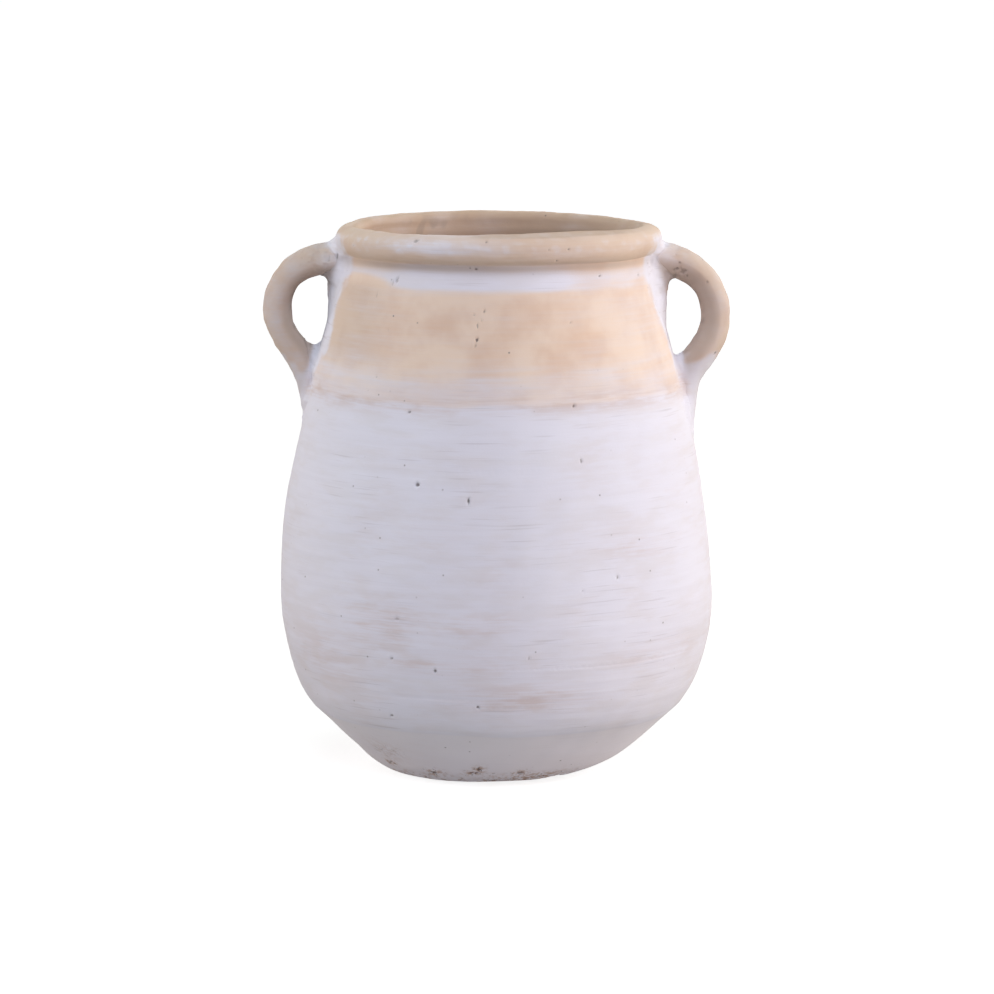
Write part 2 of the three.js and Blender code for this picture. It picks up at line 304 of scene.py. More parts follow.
class Side(Enum):
    """Which way a handle points: the value is the turn round the axis, in radians."""

    RIGHT = 0.0
    LEFT = math.pi


class Joint(Enum):
    """How the foot of a ring meets its neighbour."""

    FLAT = "flat"
    STEPPED = "stepped"


@dataclass(frozen=True)
class Section:
    """Sizes of the vase's cross-section, and the line round its clay that they give."""

    height: float = 305.0
    foot_flat_radius: float = 44.7
    foot_edge_round: float = 42.4
    cone_angle: float = math.radians(42.3)
    turn_height: float = 35.5
    belly_radius: float = 120.5
    belly_height: float = 100.0
    belly_pull_at_turn: float = 21.4
    belly_pull_below: float = 15.0
    belly_pull_above: float = 35.7
    shoulder_set_in: float = 12.8
    shoulder_height: float = 196.0
    shoulder_taper: float = 0.216
    shoulder_pull_below: float = 35.7
    shoulder_pull_above: float = 38.7
    neck_set_in: float = 22.3
    neck_band: float = 4.5
    neck_pull: float = 4.3
    roll_overhang: float = 5.8
    roll_depth: float = 15.5
    roll_upper_half: float = 7.3
    crest_set_in: float = 9.7
    lip_depth: float = 5.5
    wall: float = 8.4
    floor: float = 10.0
    belly_joint_height: float = 150.0
    tongue: float = 3.0
    joint_clearance: float = 0.3

    @property
    def neck_radius(self) -> float:
        """Radius of the neck under the roll."""
        return self.belly_radius - self.shoulder_set_in - self.neck_set_in

    @property
    def neck_height(self) -> float:
        """Height of the joint under the neck band."""
        return self.height - self.roll_depth - self.neck_band

    @property
    def mouth_radius(self) -> float:
        """Radius of the mouth inside the lip."""
        return self.neck_radius - self.wall

    def body(self) -> Array:
        """Outside from the flat of the foot to the neck: an arc, a straight cone and three curves."""
        cone = np.array([math.cos(self.cone_angle), math.sin(self.cone_angle)])
        shoulder_way = np.array([-self.shoulder_taper, 1.0]) / math.hypot(self.shoulder_taper, 1)
        up = np.array([0.0, 1.0])
        edge = self.foot_edge_round
        foot = arc((self.foot_flat_radius, edge), (edge, edge), (-QUARTER, self.cone_angle - QUARTER), 60)
        turn = foot[-1] + cone * (self.turn_height - foot[-1, 1]) / cone[1]
        belly = np.array([self.belly_radius, self.belly_height])
        shoulder = np.array([self.belly_radius - self.shoulder_set_in, self.shoulder_height])
        neck = np.array([self.neck_radius, self.neck_height])
        above_turn = turn + cone * self.belly_pull_at_turn
        below_belly = belly - up * self.belly_pull_below
        above_belly = belly + up * self.belly_pull_above
        below_shoulder = shoulder - shoulder_way * self.shoulder_pull_below
        above_shoulder = shoulder + shoulder_way * self.shoulder_pull_above
        below_neck = neck - up * self.neck_pull
        return joined([
            foot,
            np.stack([foot[-1], turn]),
            cubic([turn, above_turn, below_belly, belly], 120),
            cubic([belly, above_belly, below_shoulder, shoulder], 120),
            cubic([shoulder, above_shoulder, below_neck, neck], 120),
        ])

    def roll(self) -> Array:
        """From the neck round the rolled rim to the inside of the lip: three quarter ellipses."""
        neck = self.neck_radius
        foot = self.height - self.roll_depth
        middle = self.height - self.roll_upper_half
        crest = neck + self.roll_overhang - self.crest_set_in
        lip = (crest - self.mouth_radius, self.lip_depth)
        return joined([
            np.array([[neck, self.neck_height], [neck, foot]]),
            arc((neck, middle), (self.roll_overhang, middle - foot), (-QUARTER, 0), 40),
            arc((crest, middle), (self.crest_set_in, self.roll_upper_half), (0, QUARTER), 40),
            arc((crest, self.height - self.lip_depth), lip, (QUARTER, 2 * QUARTER), 30),
        ])

    def inside(self) -> Array:
        """The body's line moved in by the wall, from the mouth down to the floor."""
        way = ClayLine(self.body())
        moved = way.points - way.out * self.wall
        hair = ClayLine.STEP / 2
        moved = moved[moved[:, 1] > self.floor + hair]
        foot = np.array([[moved[0, 0] - hair, self.floor]])
        return np.concatenate([foot, moved])[::-1]


@dataclass(frozen=True)
class Mark:
    """A pit, chip or scratch in the wall, in degrees from +X and millimetres."""

    angle: float
    height: float
    half_width: float
    half_height: float
    depth: float
    dark: float = 1.0


# Pits, chips and scratches on the front, from the rim down to the foot
FRONT_MARKS = (
    Mark(-120, 302.0, 3.0, 1.4, 0.5, 0.6),
    Mark(-94.3, 302.2, 1.2, 1.0, 0.5, 0.7),
    Mark(-72.7, 297.7, 0.9, 0.8, 0.4, 0.7),
    Mark(-65.5, 297.6, 1.0, 0.9, 0.4, 0.7),
    Mark(-17.7, 299.3, 1.0, 0.9, 0.4, 0.8),
    Mark(-69.3, 291.4, 1.0, 0.9, 0.4, 0.8),
    Mark(-98, 287.0, 1.5, 1.0, 0.7),
    Mark(-50, 282, 1.1, 1.1, 0.7),
    Mark(-27, 280, 1.4, 1.3, 0.8),
    Mark(-129.2, 279.6, 2.0, 2.2, 0.7, 0.6),
    Mark(-130.8, 278.2, 0.8, 2.6, 0.5, 0.5),
    Mark(-137.4, 271, 0.6, 2.6, 0.4, 0.5),
    Mark(-94.1, 264.8, 0.9, 1.1, 0.6, 0.7),
    Mark(-97.5, 263, 0.9, 0.9, 0.5, 0.5),
    Mark(-94.9, 260.2, 0.7, 1.2, 0.5, 0.4),
    Mark(-64, 258.5, 1.0, 1.0, 0.6),
    Mark(-96.2, 257.3, 0.7, 2.6, 0.5, 0.7),
    Mark(-128.9, 253, 0.6, 2.4, 0.4, 0.5),
    Mark(-96.2, 250.4, 1.4, 1.6, 1.1),
    Mark(-96.6, 247.2, 1.0, 1.5, 0.5, 0.5),
    Mark(-130.4, 228, 0.9, 0.9, 0.4, 0.6),
    Mark(-66, 214.5, 1.3, 1.6, 0.9),
    Mark(-116.7, 211, 1.0, 1.0, 0.7),
    Mark(-65.4, 185.5, 0.9, 1.1, 0.7),
    Mark(-112, 173, 1.8, 1.8, 1.1),
    Mark(-97.3, 165.5, 1.2, 2.6, 1.1),
    Mark(-56.4, 122, 1.2, 1.2, 0.8),
    Mark(-67, 116, 0.9, 0.9, 0.5),
    Mark(-116.6, 100.6, 2.2, 1.3, 0.5, 0.6),
    Mark(-93, 181, 40.0, 0.9, 0.1, 0.16),
    Mark(-88, 172.5, 36.0, 0.9, 0.1, 0.16),
    Mark(-94, 122, 34.0, 0.9, 0.1, 0.2),
    Mark(-56, 74.6, 70.0, 1.0, 0.24, 0.26),
    Mark(-110, 57, 48.0, 0.9, 0.16, 0.2),
    Mark(-81.7, 81, 0.9, 0.9, 0.6),
    Mark(-118.6, 78.6, 1.0, 1.0, 0.7),
    Mark(-106.5, 73, 1.3, 1.7, 0.9),
    Mark(-95.5, 53, 1.4, 1.0, 0.8),
    Mark(-85, 52.5, 24.0, 0.9, 0.16, 0.26),
    Mark(-122, 45, 1.3, 1.0, 0.7),
)

# Chips along the worn edge of the foot
FOOT_CHIPS = (
    Mark(-142, 10, 2.6, 1.0, 0.7, 0.8),
    Mark(-117.5, 7.5, 3.2, 1.3, 0.8, 0.9),
    Mark(-96.5, 11.5, 1.8, 1.3, 0.9, 1.0),
    Mark(-99.5, 9, 2.6, 0.9, 0.6, 0.8),
    Mark(-88.5, 2.5, 3.2, 1.3, 0.9, 1.0),
    Mark(-78, 8.5, 2.4, 1.1, 0.8, 0.9),
    Mark(-48, 0.8, 11.0, 3.6, 2.4, 0.25),
)


def scattered_marks(seed: int, count: int, heights: Pair, size: float) -> list[Mark]:
    """Small pits drawn at random all round, fewer on the front where the known ones are.

    Args:
        seed: Start of the random draw.
        count: Number of pits.
        heights: Lowest and highest place.
        size: Middle half width in millimetres.

    Returns:
        The pits.
    """
    draw = np.random.default_rng(seed)
    marks = []
    for _ in range(count):
        angle = draw.uniform(-180, 180)
        if abs(angle + 90) < 75:
            angle += 180
        half = size * draw.uniform(0.7, 1.5)
        height = draw.uniform(*heights)
        tall = half * draw.uniform(0.7, 1.6)
        marks.append(Mark(angle, height, half, tall, half * 0.6, draw.uniform(0.5, 1)))
    return marks


class Wall:
    """The vase's whole skin as one surface of two parameters: length along the line and angle.

    The pieces of the wall are cut from it, so that they meet without a seam.
    """

    COLUMNS = 600
    FRONT = -QUARTER
    # How far the corners of the line are rounded, in millimetres
    SOFTNESS = 0.7
    # Where columns crowd: on the front, and at each known mark that is at least this deep
    FRONT_GATHER = (-95.0, 42.0, 0.7)
    PIT_GATHER = (1.6, 0.9)
    LARGE_PIT = 0.9
    # Where the middle stands off the axis along X: height, reach and millimetres
    SAGS = ((57, 18, 0.75), (146, 22, -0.65), (92, 26, 0.35), (27, 10, -0.3))
    # Where the wall stands out from its turned line: height, reach and millimetres
    SWELLS = ((42, 24, 0.75), (18, 12, 0.75), (86, 24, 0.35), (135, 22, -0.35))
    # Throwing rings: half height and pitch in millimetres, and start of the sine
    RINGS = ((0.026, 7.3, 0.0), (0.02, 5.1, 2.0), (0.012, 3.4, 4.0))
    # Factors on the place that draw noise out level
    DRAWN_OUT = (0.06, 0.06, 1.0)

    def __init__(self, section: Section) -> None:
        """Works out the line round the clay, and where its parts begin."""
        self.section = section
        body = section.body()
        roll = section.roll()
        inside = section.inside()
        under = np.array([[0.0, 0.0], body[0]])
        lip = np.array([roll[-1], inside[0]])
        floor = np.array([inside[-1], [0.0, section.floor]])
        parts = [under, body, roll, lip, inside, floor]
        ends = np.cumsum([np.linalg.norm(np.diff(part, axis=0), axis=1).sum() for part in parts])
        self.body_start = ends[0]
        self.roll_start = ends[1]
        self.inner_span = (ends[2], ends[4])
        self.full = ends[5]
        self.line = ClayLine(joined(parts), self.SOFTNESS)
        self.crest = self.line.length[np.argmax(self.line.points[:, 1])]
        self.marks = [*FRONT_MARKS, *FOOT_CHIPS]
        self.marks += scattered_marks(seed=11, count=46, heights=(42.0, 282.0), size=1.0)
        self.marks += scattered_marks(seed=12, count=16, heights=(2.0, 12.0), size=2.6)
        gathers = [self.FRONT_GATHER]
        gathers += [(mark.angle, *self.PIT_GATHER) for mark in FRONT_MARKS if mark.depth >= self.LARGE_PIT]
        self.angles = np.radians(graded(-270.0, 90.0, self.COLUMNS, gathers)[:-1])

    def outer_length(self, height: Array) -> Array:
        """Length at which the outside reaches a height, up to the crest of the roll."""
        return self.line.length_at(height, self.body_start, self.crest)

    def inner_length(self, height: Array) -> Array:
        """Length at which the inside reaches a height."""
        return self.line.length_at(height, *self.inner_span)

    def radius(self, height: Array) -> Array:
        """Radius of the outside at a height, before the hand's unevenness."""
        return self.line.at(self.outer_length(height))[0]

    def lean(self, height: Array) -> tuple[Array, Array]:
        """How far the vase's middle stands off the axis along X and Y.

        The foot was trimmed askew, so its flat lies to the left and the front. The belly sagged
        by a hair, and the rim came out a little to the right.
        """
        foot = np.exp(-height / 5.7)
        rim = 1.45 * smooth_step(262, 294, height)
        return -0.6 - 7.7 * foot + bells(height, self.SAGS) + rim, -6.0 * foot

    def turn_line(self, angles: Array) -> Array:
        """Height of the edge between the trimmed cone and the belly, which wavers round the vase."""
        side = 1 - np.abs(np.cos(angles - self.FRONT))
        waver = 0.5 * np.sin(3 * angles + 0.7) + 0.25 * np.sin(7 * angles + 2.0)
        return 34.6 + 2.6 * side + waver

    def pits(
        self, angles: Array, heights: Array, radii: Array, points: Array, face: Array,
    ) -> tuple[Array, Array]:
        """Depth of all marks, and how dark each place in them is.

        A mark is full deep inside and runs out over its rim. The distance to its middle is
        measured along the wall in its own half width and half height, and is made ragged.

        Args:
            angles: Angle of each place.
            heights: Height of each place.
            radii: Radius of each place.
            points: The places themselves, for the ragged edge.
            face: One on the outside of the vase and nought elsewhere.

        Returns:
            Depth in millimetres, and darkness from nought to one.
        """
        ragged = 1.3 + 0.26 * ripple(points, 2.8, 5) + 0.18 * ripple(points, 1.5, 6)
        depth = np.zeros(points.shape[:-1])
        dark = np.zeros_like(depth)
        for mark in self.marks:
            across = radii * np.radians(turn_from(angles, mark.angle)) / mark.half_width
            away = np.hypot(across, (heights - mark.height) / mark.half_height) * ragged
            depth = np.maximum(depth, mark.depth * fall(0.4, 1.2, away) * face)
            dark = np.maximum(dark, mark.dark * fall(0.3, 1.15, away) * face)
        return depth, dark

    def throwing(self, angles: Array, heights: Array, points: Array) -> Array:
        """Height of the throwing rings and brush drags on the outside.

        Rings are sines of height that climb by one pitch in each turn. Drags are noise that is
        drawn out level.
        """
        relief = 0.025 * ripple(points, 3.4, 21, self.DRAWN_OUT)
        relief += 0.045 * ripple(points, 9.0, 22, self.DRAWN_OUT)
        for half, pitch, start in self.RINGS:
            relief += half * np.sin(2 * math.pi * heights / pitch - angles + start)
        return relief * (0.35 + 0.65 * plateau((24, 50), (180, 225), heights))

    def rim_rise(self, lengths: Array, angles: Array, heights: Array) -> Array:
        """How far the rim stands up or down from level.

        The whole rim is a bit high at the back, most of all towards the left handle, and on the
        front right its inner edge was pushed up to a low ridge.
        """
        back_left = bell(turn_from(angles, 138), 0, 34)
        back = bell(turn_from(angles, 84), 0, 42)
        tilt = 0.3 + 0.9 * back_left + 0.35 * back
        ridge = plateau((-110, -84), (-62, -22), turn_from(angles, 0)) * bell(lengths, self.crest + 2.4, 3.2)
        return tilt * smooth_step(270, 300, heights) + 1.5 * ridge

    def place(self, lengths: Array, angles: Array) -> tuple[Array, dict[str, Array]]:
        """Points of the skin.

        Each is the line's point turned round the axis, moved along the way out of the clay by
        the slow waver of the wall, the throwing rings, the trimming step and the marks.

        Args:
            lengths: Lengths along the line.
            angles: Angles round the axis, of the same shape or one that spreads over it.

        Returns:
            The points, and the tints at them.
        """
        lengths, angles = np.broadcast_arrays(lengths, angles)
        radius, height, out_radius, out_height = self.line.at(lengths)
        cosine = np.cos(angles)
        sine = np.sin(angles)
        points = np.stack([radius * cosine, radius * sine, height], axis=-1)
        out = np.stack([out_radius * cosine, out_radius * sine, out_height], axis=-1)
        crest = self.crest
        floor_edge = self.inner_span[1]
        # Shares, each one on its own part: off the foot's flat, outside, inside, and so on
        standing = smooth_step(self.body_start - 0.5, self.body_start + 12, lengths)
        outside = standing * fall(crest, crest + 10, lengths)
        within = smooth_step(crest - 2, crest + 12, lengths)
        on_inner_wall = within * fall(floor_edge - 4, floor_edge, lengths)
        on_roll = smooth_step(self.roll_start + 4, self.roll_start + 12, lengths)
        kneaded = on_roll * fall(crest + 4, crest + 16, lengths)
        # The slow waver of the wall
        waver = 0.22 * np.sin(2 * angles + 1.1 + height / 160) + 0.14 * np.sin(3 * angles - height / 90)
        waver += 0.22 * ripple(points, 70, 31) + 0.1 * ripple(points, 26, 32)
        # The foot is cut back by a hair's step, and smoother than what was thrown
        trim = fall(-1.2, 1.2, height - self.turn_line(angles))
        thrown = self.throwing(angles, height, points) * (1 - 0.6 * trim)
        trim_step = 0.16 * trim * smooth_step(8, 30, height)
        out_by = outside * (waver + thrown - trim_step + bells(height, self.SWELLS))
        # The roll was squeezed round, and flattened towards the handles
        out_by += kneaded * (0.12 * ripple(points, 15, 33) + 0.05 * ripple(points, 5, 34))
        out_by -= 0.8 * outside * on_roll * cosine**2
        # Fingers left rings inside, and a thumb the hollow under the lip
        fingers = 0.26 * np.sin(2 * math.pi * height / 9.5 + angles) + 0.1 * ripple(points, 22, 35)
        out_by += on_inner_wall * fingers * smooth_step(12, 30, height)
        out_by -= 1.5 * within * plateau((268, 286), (287, 301.5), height)
        depth, pit = self.pits(angles, height, radius, points, outside * smooth_step(-1, 0.3, height))
        points = points + out * (out_by - depth)[..., None]
        lean_x, lean_y = self.lean(height)
        points[..., 0] += lean_x * standing
        points[..., 1] += lean_y * standing
        points[..., 2] += self.rim_rise(lengths, angles, height)
        points[..., 2] = np.maximum(points[..., 2], 0.0)
        turned_in = smooth_step(crest - 0.5, crest + 3.0, lengths)
        tints = Tints(self).on(points, angles, height, radius, turned_in)
        tints["pit"] = pit
        return points, tints

    def skin(self, lengths: Array) -> "Skin":
        """The whole skin at chosen lengths, with upright normals at its two poles."""
        points, tints = self.place(lengths[:, None], self.angles[None, :])
        normals = grid_normals(points)
        normals[0] = (0, 0, -1)
        normals[-1] = (0, 0, 1)
        return Skin(lengths, points, normals, tints)

    def step_rows(self, height: float, side: float) -> Array:
        """The two rows of a stepped joint half way through the wall, from its foot up.

        Args:
            height: Height of the joint outside.
            side: Minus one for the tongue and one for the rebate, which the clearance parts.

        Returns:
            The rows.
        """
        inner_radius = self.line.at(self.inner_length(height))[0]
        radius = float((self.radius(height) + inner_radius) / 2) + side * self.section.joint_clearance / 2
        shift = float(self.lean(np.array(height))[0])
        across = radius * np.cos(self.angles) + shift
        depth = radius * np.sin(self.angles)
        lifts = (0, self.section.tongue)
        rows = [np.stack([across, depth, np.full_like(across, height + lift)], axis=-1) for lift in lifts]
        return np.stack(rows)


class Tints:
    """What is painted on the clay at a place, each tint from nought to one.

    Wash is the lime slip's cover, and thin is where the clay's pink shows through it. Trim is the
    wet-smoothed foot. Raw is clay that was never wiped, with painted shade in the crease under the
    roll. Handled is clay browned by fingers, with painted shade under the roll and in the straps'
    hollows. Stain is rust and earth, and pit is the dark of pits and nicks, with painted shade along
    the straps' hollows.
    """

    # Where the slip thinned under the brush: middle angle and height, reach each way, and share
    THIN_PATCHES = (
        (-119.0, 97.0, 13.0, 15.0, 0.7),
        (-97.0, 98.0, 10.0, 7.0, 0.6),
        (-84.0, 57.0, 20.0, 9.0, 0.7),
        (-104.0, 76.0, 22.0, 7.0, 0.6),
        (-140.0, 74.0, 18.0, 22.0, 0.45),
        (-48.0, 137.0, 14.0, 6.0, 0.5),
        (-42.0, 78.0, 20.0, 9.0, 0.4),
        (20.0, 80.0, 30.0, 14.0, 0.8),
        (75.0, 110.0, 34.0, 12.0, 0.8),
        (140.0, 66.0, 30.0, 12.0, 0.9),
    )
    # Heights over which the bare band's lower edge, its fade above that and its top run
    BAND_EDGE = (212.4, 216.4)
    BAND_FADE = (216.0, 244.0)
    BAND_TOP = (272.4, 279.2)
    # Share of the wiping that is there from the lower edge up, where the rest fades in
    BAND_FIRM = 0.56
    # Half widths of the slip left beside each handle in degrees, low and high, and heights between
    RIGHT_STRIP = (7.0, 15.0, 232, 264)
    LEFT_STRIP = (8.0, 16.0, 226, 240)
    # Factors on the place that draw noise out level
    DRAWN_OUT = (0.05, 0.05, 1.0)

    def __init__(self, wall: Wall) -> None:
        """Keeps the wall, whose face tells the strap's clay from the wall's."""
        self.wall = wall

    def from_handle(self, angles: Array) -> Array:
        """Angle to the nearer handle's middle plane, in degrees."""
        return np.degrees(np.abs(np.arctan(np.tan(angles))))

    def bare_band(self, angles: Array, heights: Array, points: Array) -> Array:
        """The band wiped bare round the shoulder.

        Its foot fades downwards in level streaks and ends in a faint edge, its top is firmer,
        and it stops short of each handle.
        """
        around = turn_from(angles, 0)
        streak = ripple(points, 5.0, 41, self.DRAWN_OUT)
        patch = ripple(points, 36, 42)
        edge = smooth_step(*self.BAND_EDGE, heights + 0.35 * streak + 0.6 * patch)
        kept = 7.0 * plateau((-60, -35), (10, 40), around)
        fade = smooth_step(*self.BAND_FADE, heights + kept + 2.6 * streak + 2.4 * patch)
        rise = 5.5 * plateau((-180, -150), (-150, -116), around)
        top = fall(*self.BAND_TOP, heights - rise + 0.8 * ripple(points, 30, 43) + 0.5 * streak)
        strips = [
            blend(narrow, wide, smooth_step(low, high, heights))
            for narrow, wide, low, high in (self.RIGHT_STRIP, self.LEFT_STRIP)
        ]
        strip = np.where(np.cos(angles) > 0, *strips)
        away = self.from_handle(angles) + 1.5 * ripple(points, 14, 44)
        wiped = self.BAND_FIRM * edge + (1 - self.BAND_FIRM) * fade
        return wiped * top * smooth_step(-4.0, 6.0, away - strip)

    def thinned(self, angles: Array, heights: Array, points: Array) -> Array:
        """How much the slip thinned: in patches, a little all over, and under the bare band."""
        thin = 0.07 * (1 + ripple(points, 45, 49)) * np.ones(np.broadcast(angles, heights).shape)
        wander = 3 * ripple(points, 30, 50)
        for angle, height, wide, tall, share in self.THIN_PATCHES:
            across = bell(turn_from(angles, angle) + wander, 0, wide)
            thin = np.maximum(thin, share * across * bell(heights, height, tall))
        return np.maximum(thin * fall(190, 215, heights), 0.95 * bell(heights, 217, 6))

    def roll_wash(self, angles: Array, heights: Array, points: Array) -> Array:
        """Whitewash on the rolled rim: a thin veil on its upper half, in patches."""
        from_front_left = turn_from(angles, -114)
        from_left = turn_from(angles, -146)
        behind = smooth_step(-0.3, 0.3, np.sin(angles))
        share = 0.05 + 0.42 * bell(from_front_left, 0, 21)
        share += 0.16 * np.clip(0.5 + 0.8 * ripple(points, 46, 55), 0, 1) * behind
        share += 0.22 * smooth_step(0.2, 1.2, ripple(points, 6, 56)) * bell(from_left, 0, 26)
        share += 0.12 * smooth_step(0.1, 1.2, ripple(points, 5, 58, (0.5, 0.5, 1.0)))
        veil = share * smooth_step(292.5, 297.5, heights + 1.0 * ripple(points, 20, 51))
        veil *= 1 - 0.55 * smooth_step(299.5, 303.5, heights)
        by_handle = fall(11, 26, self.from_handle(angles) + 2 * ripple(points, 9, 52))
        return np.maximum(0.06 + veil, 0.7 * by_handle * fall(298, 304, heights))

    def wall_wash(self, angles: Array, heights: Array, points: Array) -> Array:
        """Whitewash on the wall: whole in the recess and on the belly, wiped off the shoulder."""
        around = turn_from(angles, 0)
        off_handle = smooth_step(17, 24, self.from_handle(angles))
        recess = smooth_step(274, 279, heights) * off_handle
        side = smooth_step(0.35, 0.9, np.abs(np.cos(angles)))
        wash = 1 - self.bare_band(angles, heights, points) * (0.93 - 0.12 * side)
        wash -= 0.49 * recess * plateau((-78, -52), (100, 130), around)
        wash -= 0.3 * recess * fall(-138, -124, around)
        # Less slip just under the roll, away from the handles: painted shade under its overhang
        wash -= 0.6 * bell(heights, 287.4, 3.0) * off_handle
        wash -= 0.22 * smooth_step(236, 250, heights) * bell(around, -180, 30)
        on_roll = smooth_step(287.8, 289.8, heights)
        return blend(wash, self.roll_wash(angles, heights, points), on_roll)

    def strap_wash(self, points: Array) -> Array:
        """Whitewash on the straps: a trace on the loop, more at the root and the tail."""
        reach = np.hypot(points[..., 0], points[..., 1])
        heights = points[..., 2]
        left = smooth_step(-20, 20, -points[..., 0])
        trace = 0.14 + 0.1 * left + 0.1 * ripple(points, 22, 45)
        root = fall(95, 108, reach + 2 * ripple(points, 9, 53)) * smooth_step(266, 274, heights)
        root *= 0.42 + 0.04 * left - 0.4 * left * smooth_step(288, 292, heights)
        tail = fall(225, 236, heights + 3 * left + 3 * ripple(points, 12, 54))
        tail *= 0.92 - 0.3 * left
        return np.maximum.reduce([trace, root, tail])

    def stained(self, angles: Array, heights: Array, radii: Array, points: Array) -> Array:
        """Rust and earth: along the foot's edge, at its front right, in specks and round the chips."""
        around = turn_from(angles, 0)
        low = fall(1, 9, heights + 3.0 * ripple(points, 9, 47))
        edge = 0.75 * low * smooth_step(0.0, 1.0, ripple(points, 11, 48) + 0.3)
        streak = bell(around, -68, 22) * fall(4.0, 11.0, heights + ripple(points, 7, 57))
        specks = 0.32 * bell(around, -137, 8) * bell(heights, 19, 6)
        stain = np.maximum.reduce([edge, streak, specks])
        for mark in FOOT_CHIPS:
            across = radii * np.radians(turn_from(angles, mark.angle)) / (1.9 * mark.half_width)
            upward = (heights - mark.height) / (2.1 * mark.half_height)
            stain = np.maximum(stain, 1.25 * mark.dark * np.exp(-(across**2) - upward**2))
        return stain

    def unwiped(self, angles: Array, heights: Array) -> Array:
        """Raw clay outside: under and on the roll, on its front bevel, and left of the band.

        The crease under the roll is browned as raw clay and as painted shade.
        """
        around = turn_from(angles, 0)
        # Browner in the crease under the roll: raw clay and painted crease shade
        under_roll = bell(heights, 289.8, 3.0) * smooth_step(287.8, 289.2, heights)
        on_roll = smooth_step(288.0, 292.0, heights)
        bevel = smooth_step(303.2, 304.6, heights) * plateau((-104, -94), (-50, -20), around)
        band_left = fall(-145, -124, around) * plateau((226, 242), (272, 280), heights)
        return 0.2 * under_roll + 0.46 * on_roll + 0.75 * bevel + 0.4 * band_left

    def on(
        self, points: Array, angles: Array, heights: Array, radii: Array, within: Array,
    ) -> dict[str, Array]:
        """Tints at places of any piece.

        Args:
            points: The places.
            angles: Angle of each.
            heights: Height of each.
            radii: Radius of each on the unworn form, or the place's own.
            within: One inside the vase and nought outside.

        Returns:
            Values by the tints' names.
        """
        around = turn_from(angles, 0)
        outside = 1 - within
        outer = self.wall.radius(np.clip(heights, 0, self.wall.section.height))
        on_strap = smooth_step(2.0, 7.0, radii - outer) * outside
        on_wall = outside * (1 - on_strap)
        wash = blend(self.wall_wash(angles, heights, points), self.strap_wash(points), on_strap)
        wash = blend(wash, 0.05 + 0.08 * ripple(points, 20, 46), within)
        # Painted shade in the recess under the overhanging roll, fainter towards the handles and away from
        # the front's left
        shade = bell(heights, 287.2, 2.9) * fall(288.0, 289.4, heights)
        shade *= 0.4 + 0.6 * smooth_step(18, 48, self.from_handle(angles))
        shade *= 1 - 0.3 * smooth_step(-90, -55, around)
        smears = bell(around, 120, 24) * bell(heights, 295, 8)
        smears *= smooth_step(0.2, 0.9, ripple(points, 11, 59, (1.0, 1.0, 0.7)))
        tints = {
            "wash": wash,
            "trim": fall(-0.8, 0.8, heights - self.wall.turn_line(angles)) * outside,
            "thin": self.thinned(angles, heights, points) * on_wall,
            "raw": 0.8 * within + self.unwiped(angles, heights) * on_wall,
            "handled": on_strap * (1 - 0.5 * wash) + 0.9 * shade * on_wall + 0.5 * smears * within,
            "stain": self.stained(angles, heights, radii, points) * outside,
        }
        return {name: np.clip(values, 0, 1) for name, values in tints.items()}


@dataclass
class Skin:
    """The wall's surface at chosen lengths, from which its pieces take their rows."""

    lengths: Array
    points: Array
    normals: Array
    tints: dict[str, Array]

    def rows(self, stretch: Array) -> slice:
        """Rows from the first length of a stretch to its last, both of which are rows here."""
        first = int(np.argmin(np.abs(self.lengths - stretch[0])))
        last = int(np.argmin(np.abs(self.lengths - stretch[-1])))
        return slice(first, last + 1)

    def cut(self, parts: Iterable[slice | Array], poles: bool = False) -> Grid:
        """Joins stretches of the skin, and bare rows between them, into one grid.

        Args:
            parts: Slices of the skin, which are shown, and rows of points, which are hidden.
            poles: Whether the grid starts and ends in a pole.

        Returns:
            The grid.
        """
        points = []
        normals = []
        shown = []
        tints = {name: [] for name in self.tints}
        for part in parts:
            of_skin = isinstance(part, slice)
            rows = self.points[part] if of_skin else part
            points.append(rows)
            normals.append(self.normals[part] if of_skin else np.zeros_like(rows))
            shown += [of_skin] * (len(rows) - 1) + [False]
            for name, values in self.tints.items():
                tints[name].append(values[part] if of_skin else np.zeros(rows.shape[:2]))
        painted = {name: np.concatenate(values) for name, values in tints.items()}
        return Grid(np.concatenate(points), np.concatenate(normals), np.array(shown), painted, poles)


@dataclass
class WallPiece:
    """A piece of the wall: its name, the solid that it stands for, and the slot of its finish."""

    name: str
    node: str
    slot: str

    def stretches(self, wall: Wall) -> list[Array]:
        """Lengths of the rows of each stretch that is cut from the skin."""
        raise NotImplementedError

    def build(self, wall: Wall, skin: Skin) -> bpy.types.Object:
        """Cuts the piece out of the skin and closes it."""
        raise NotImplementedError


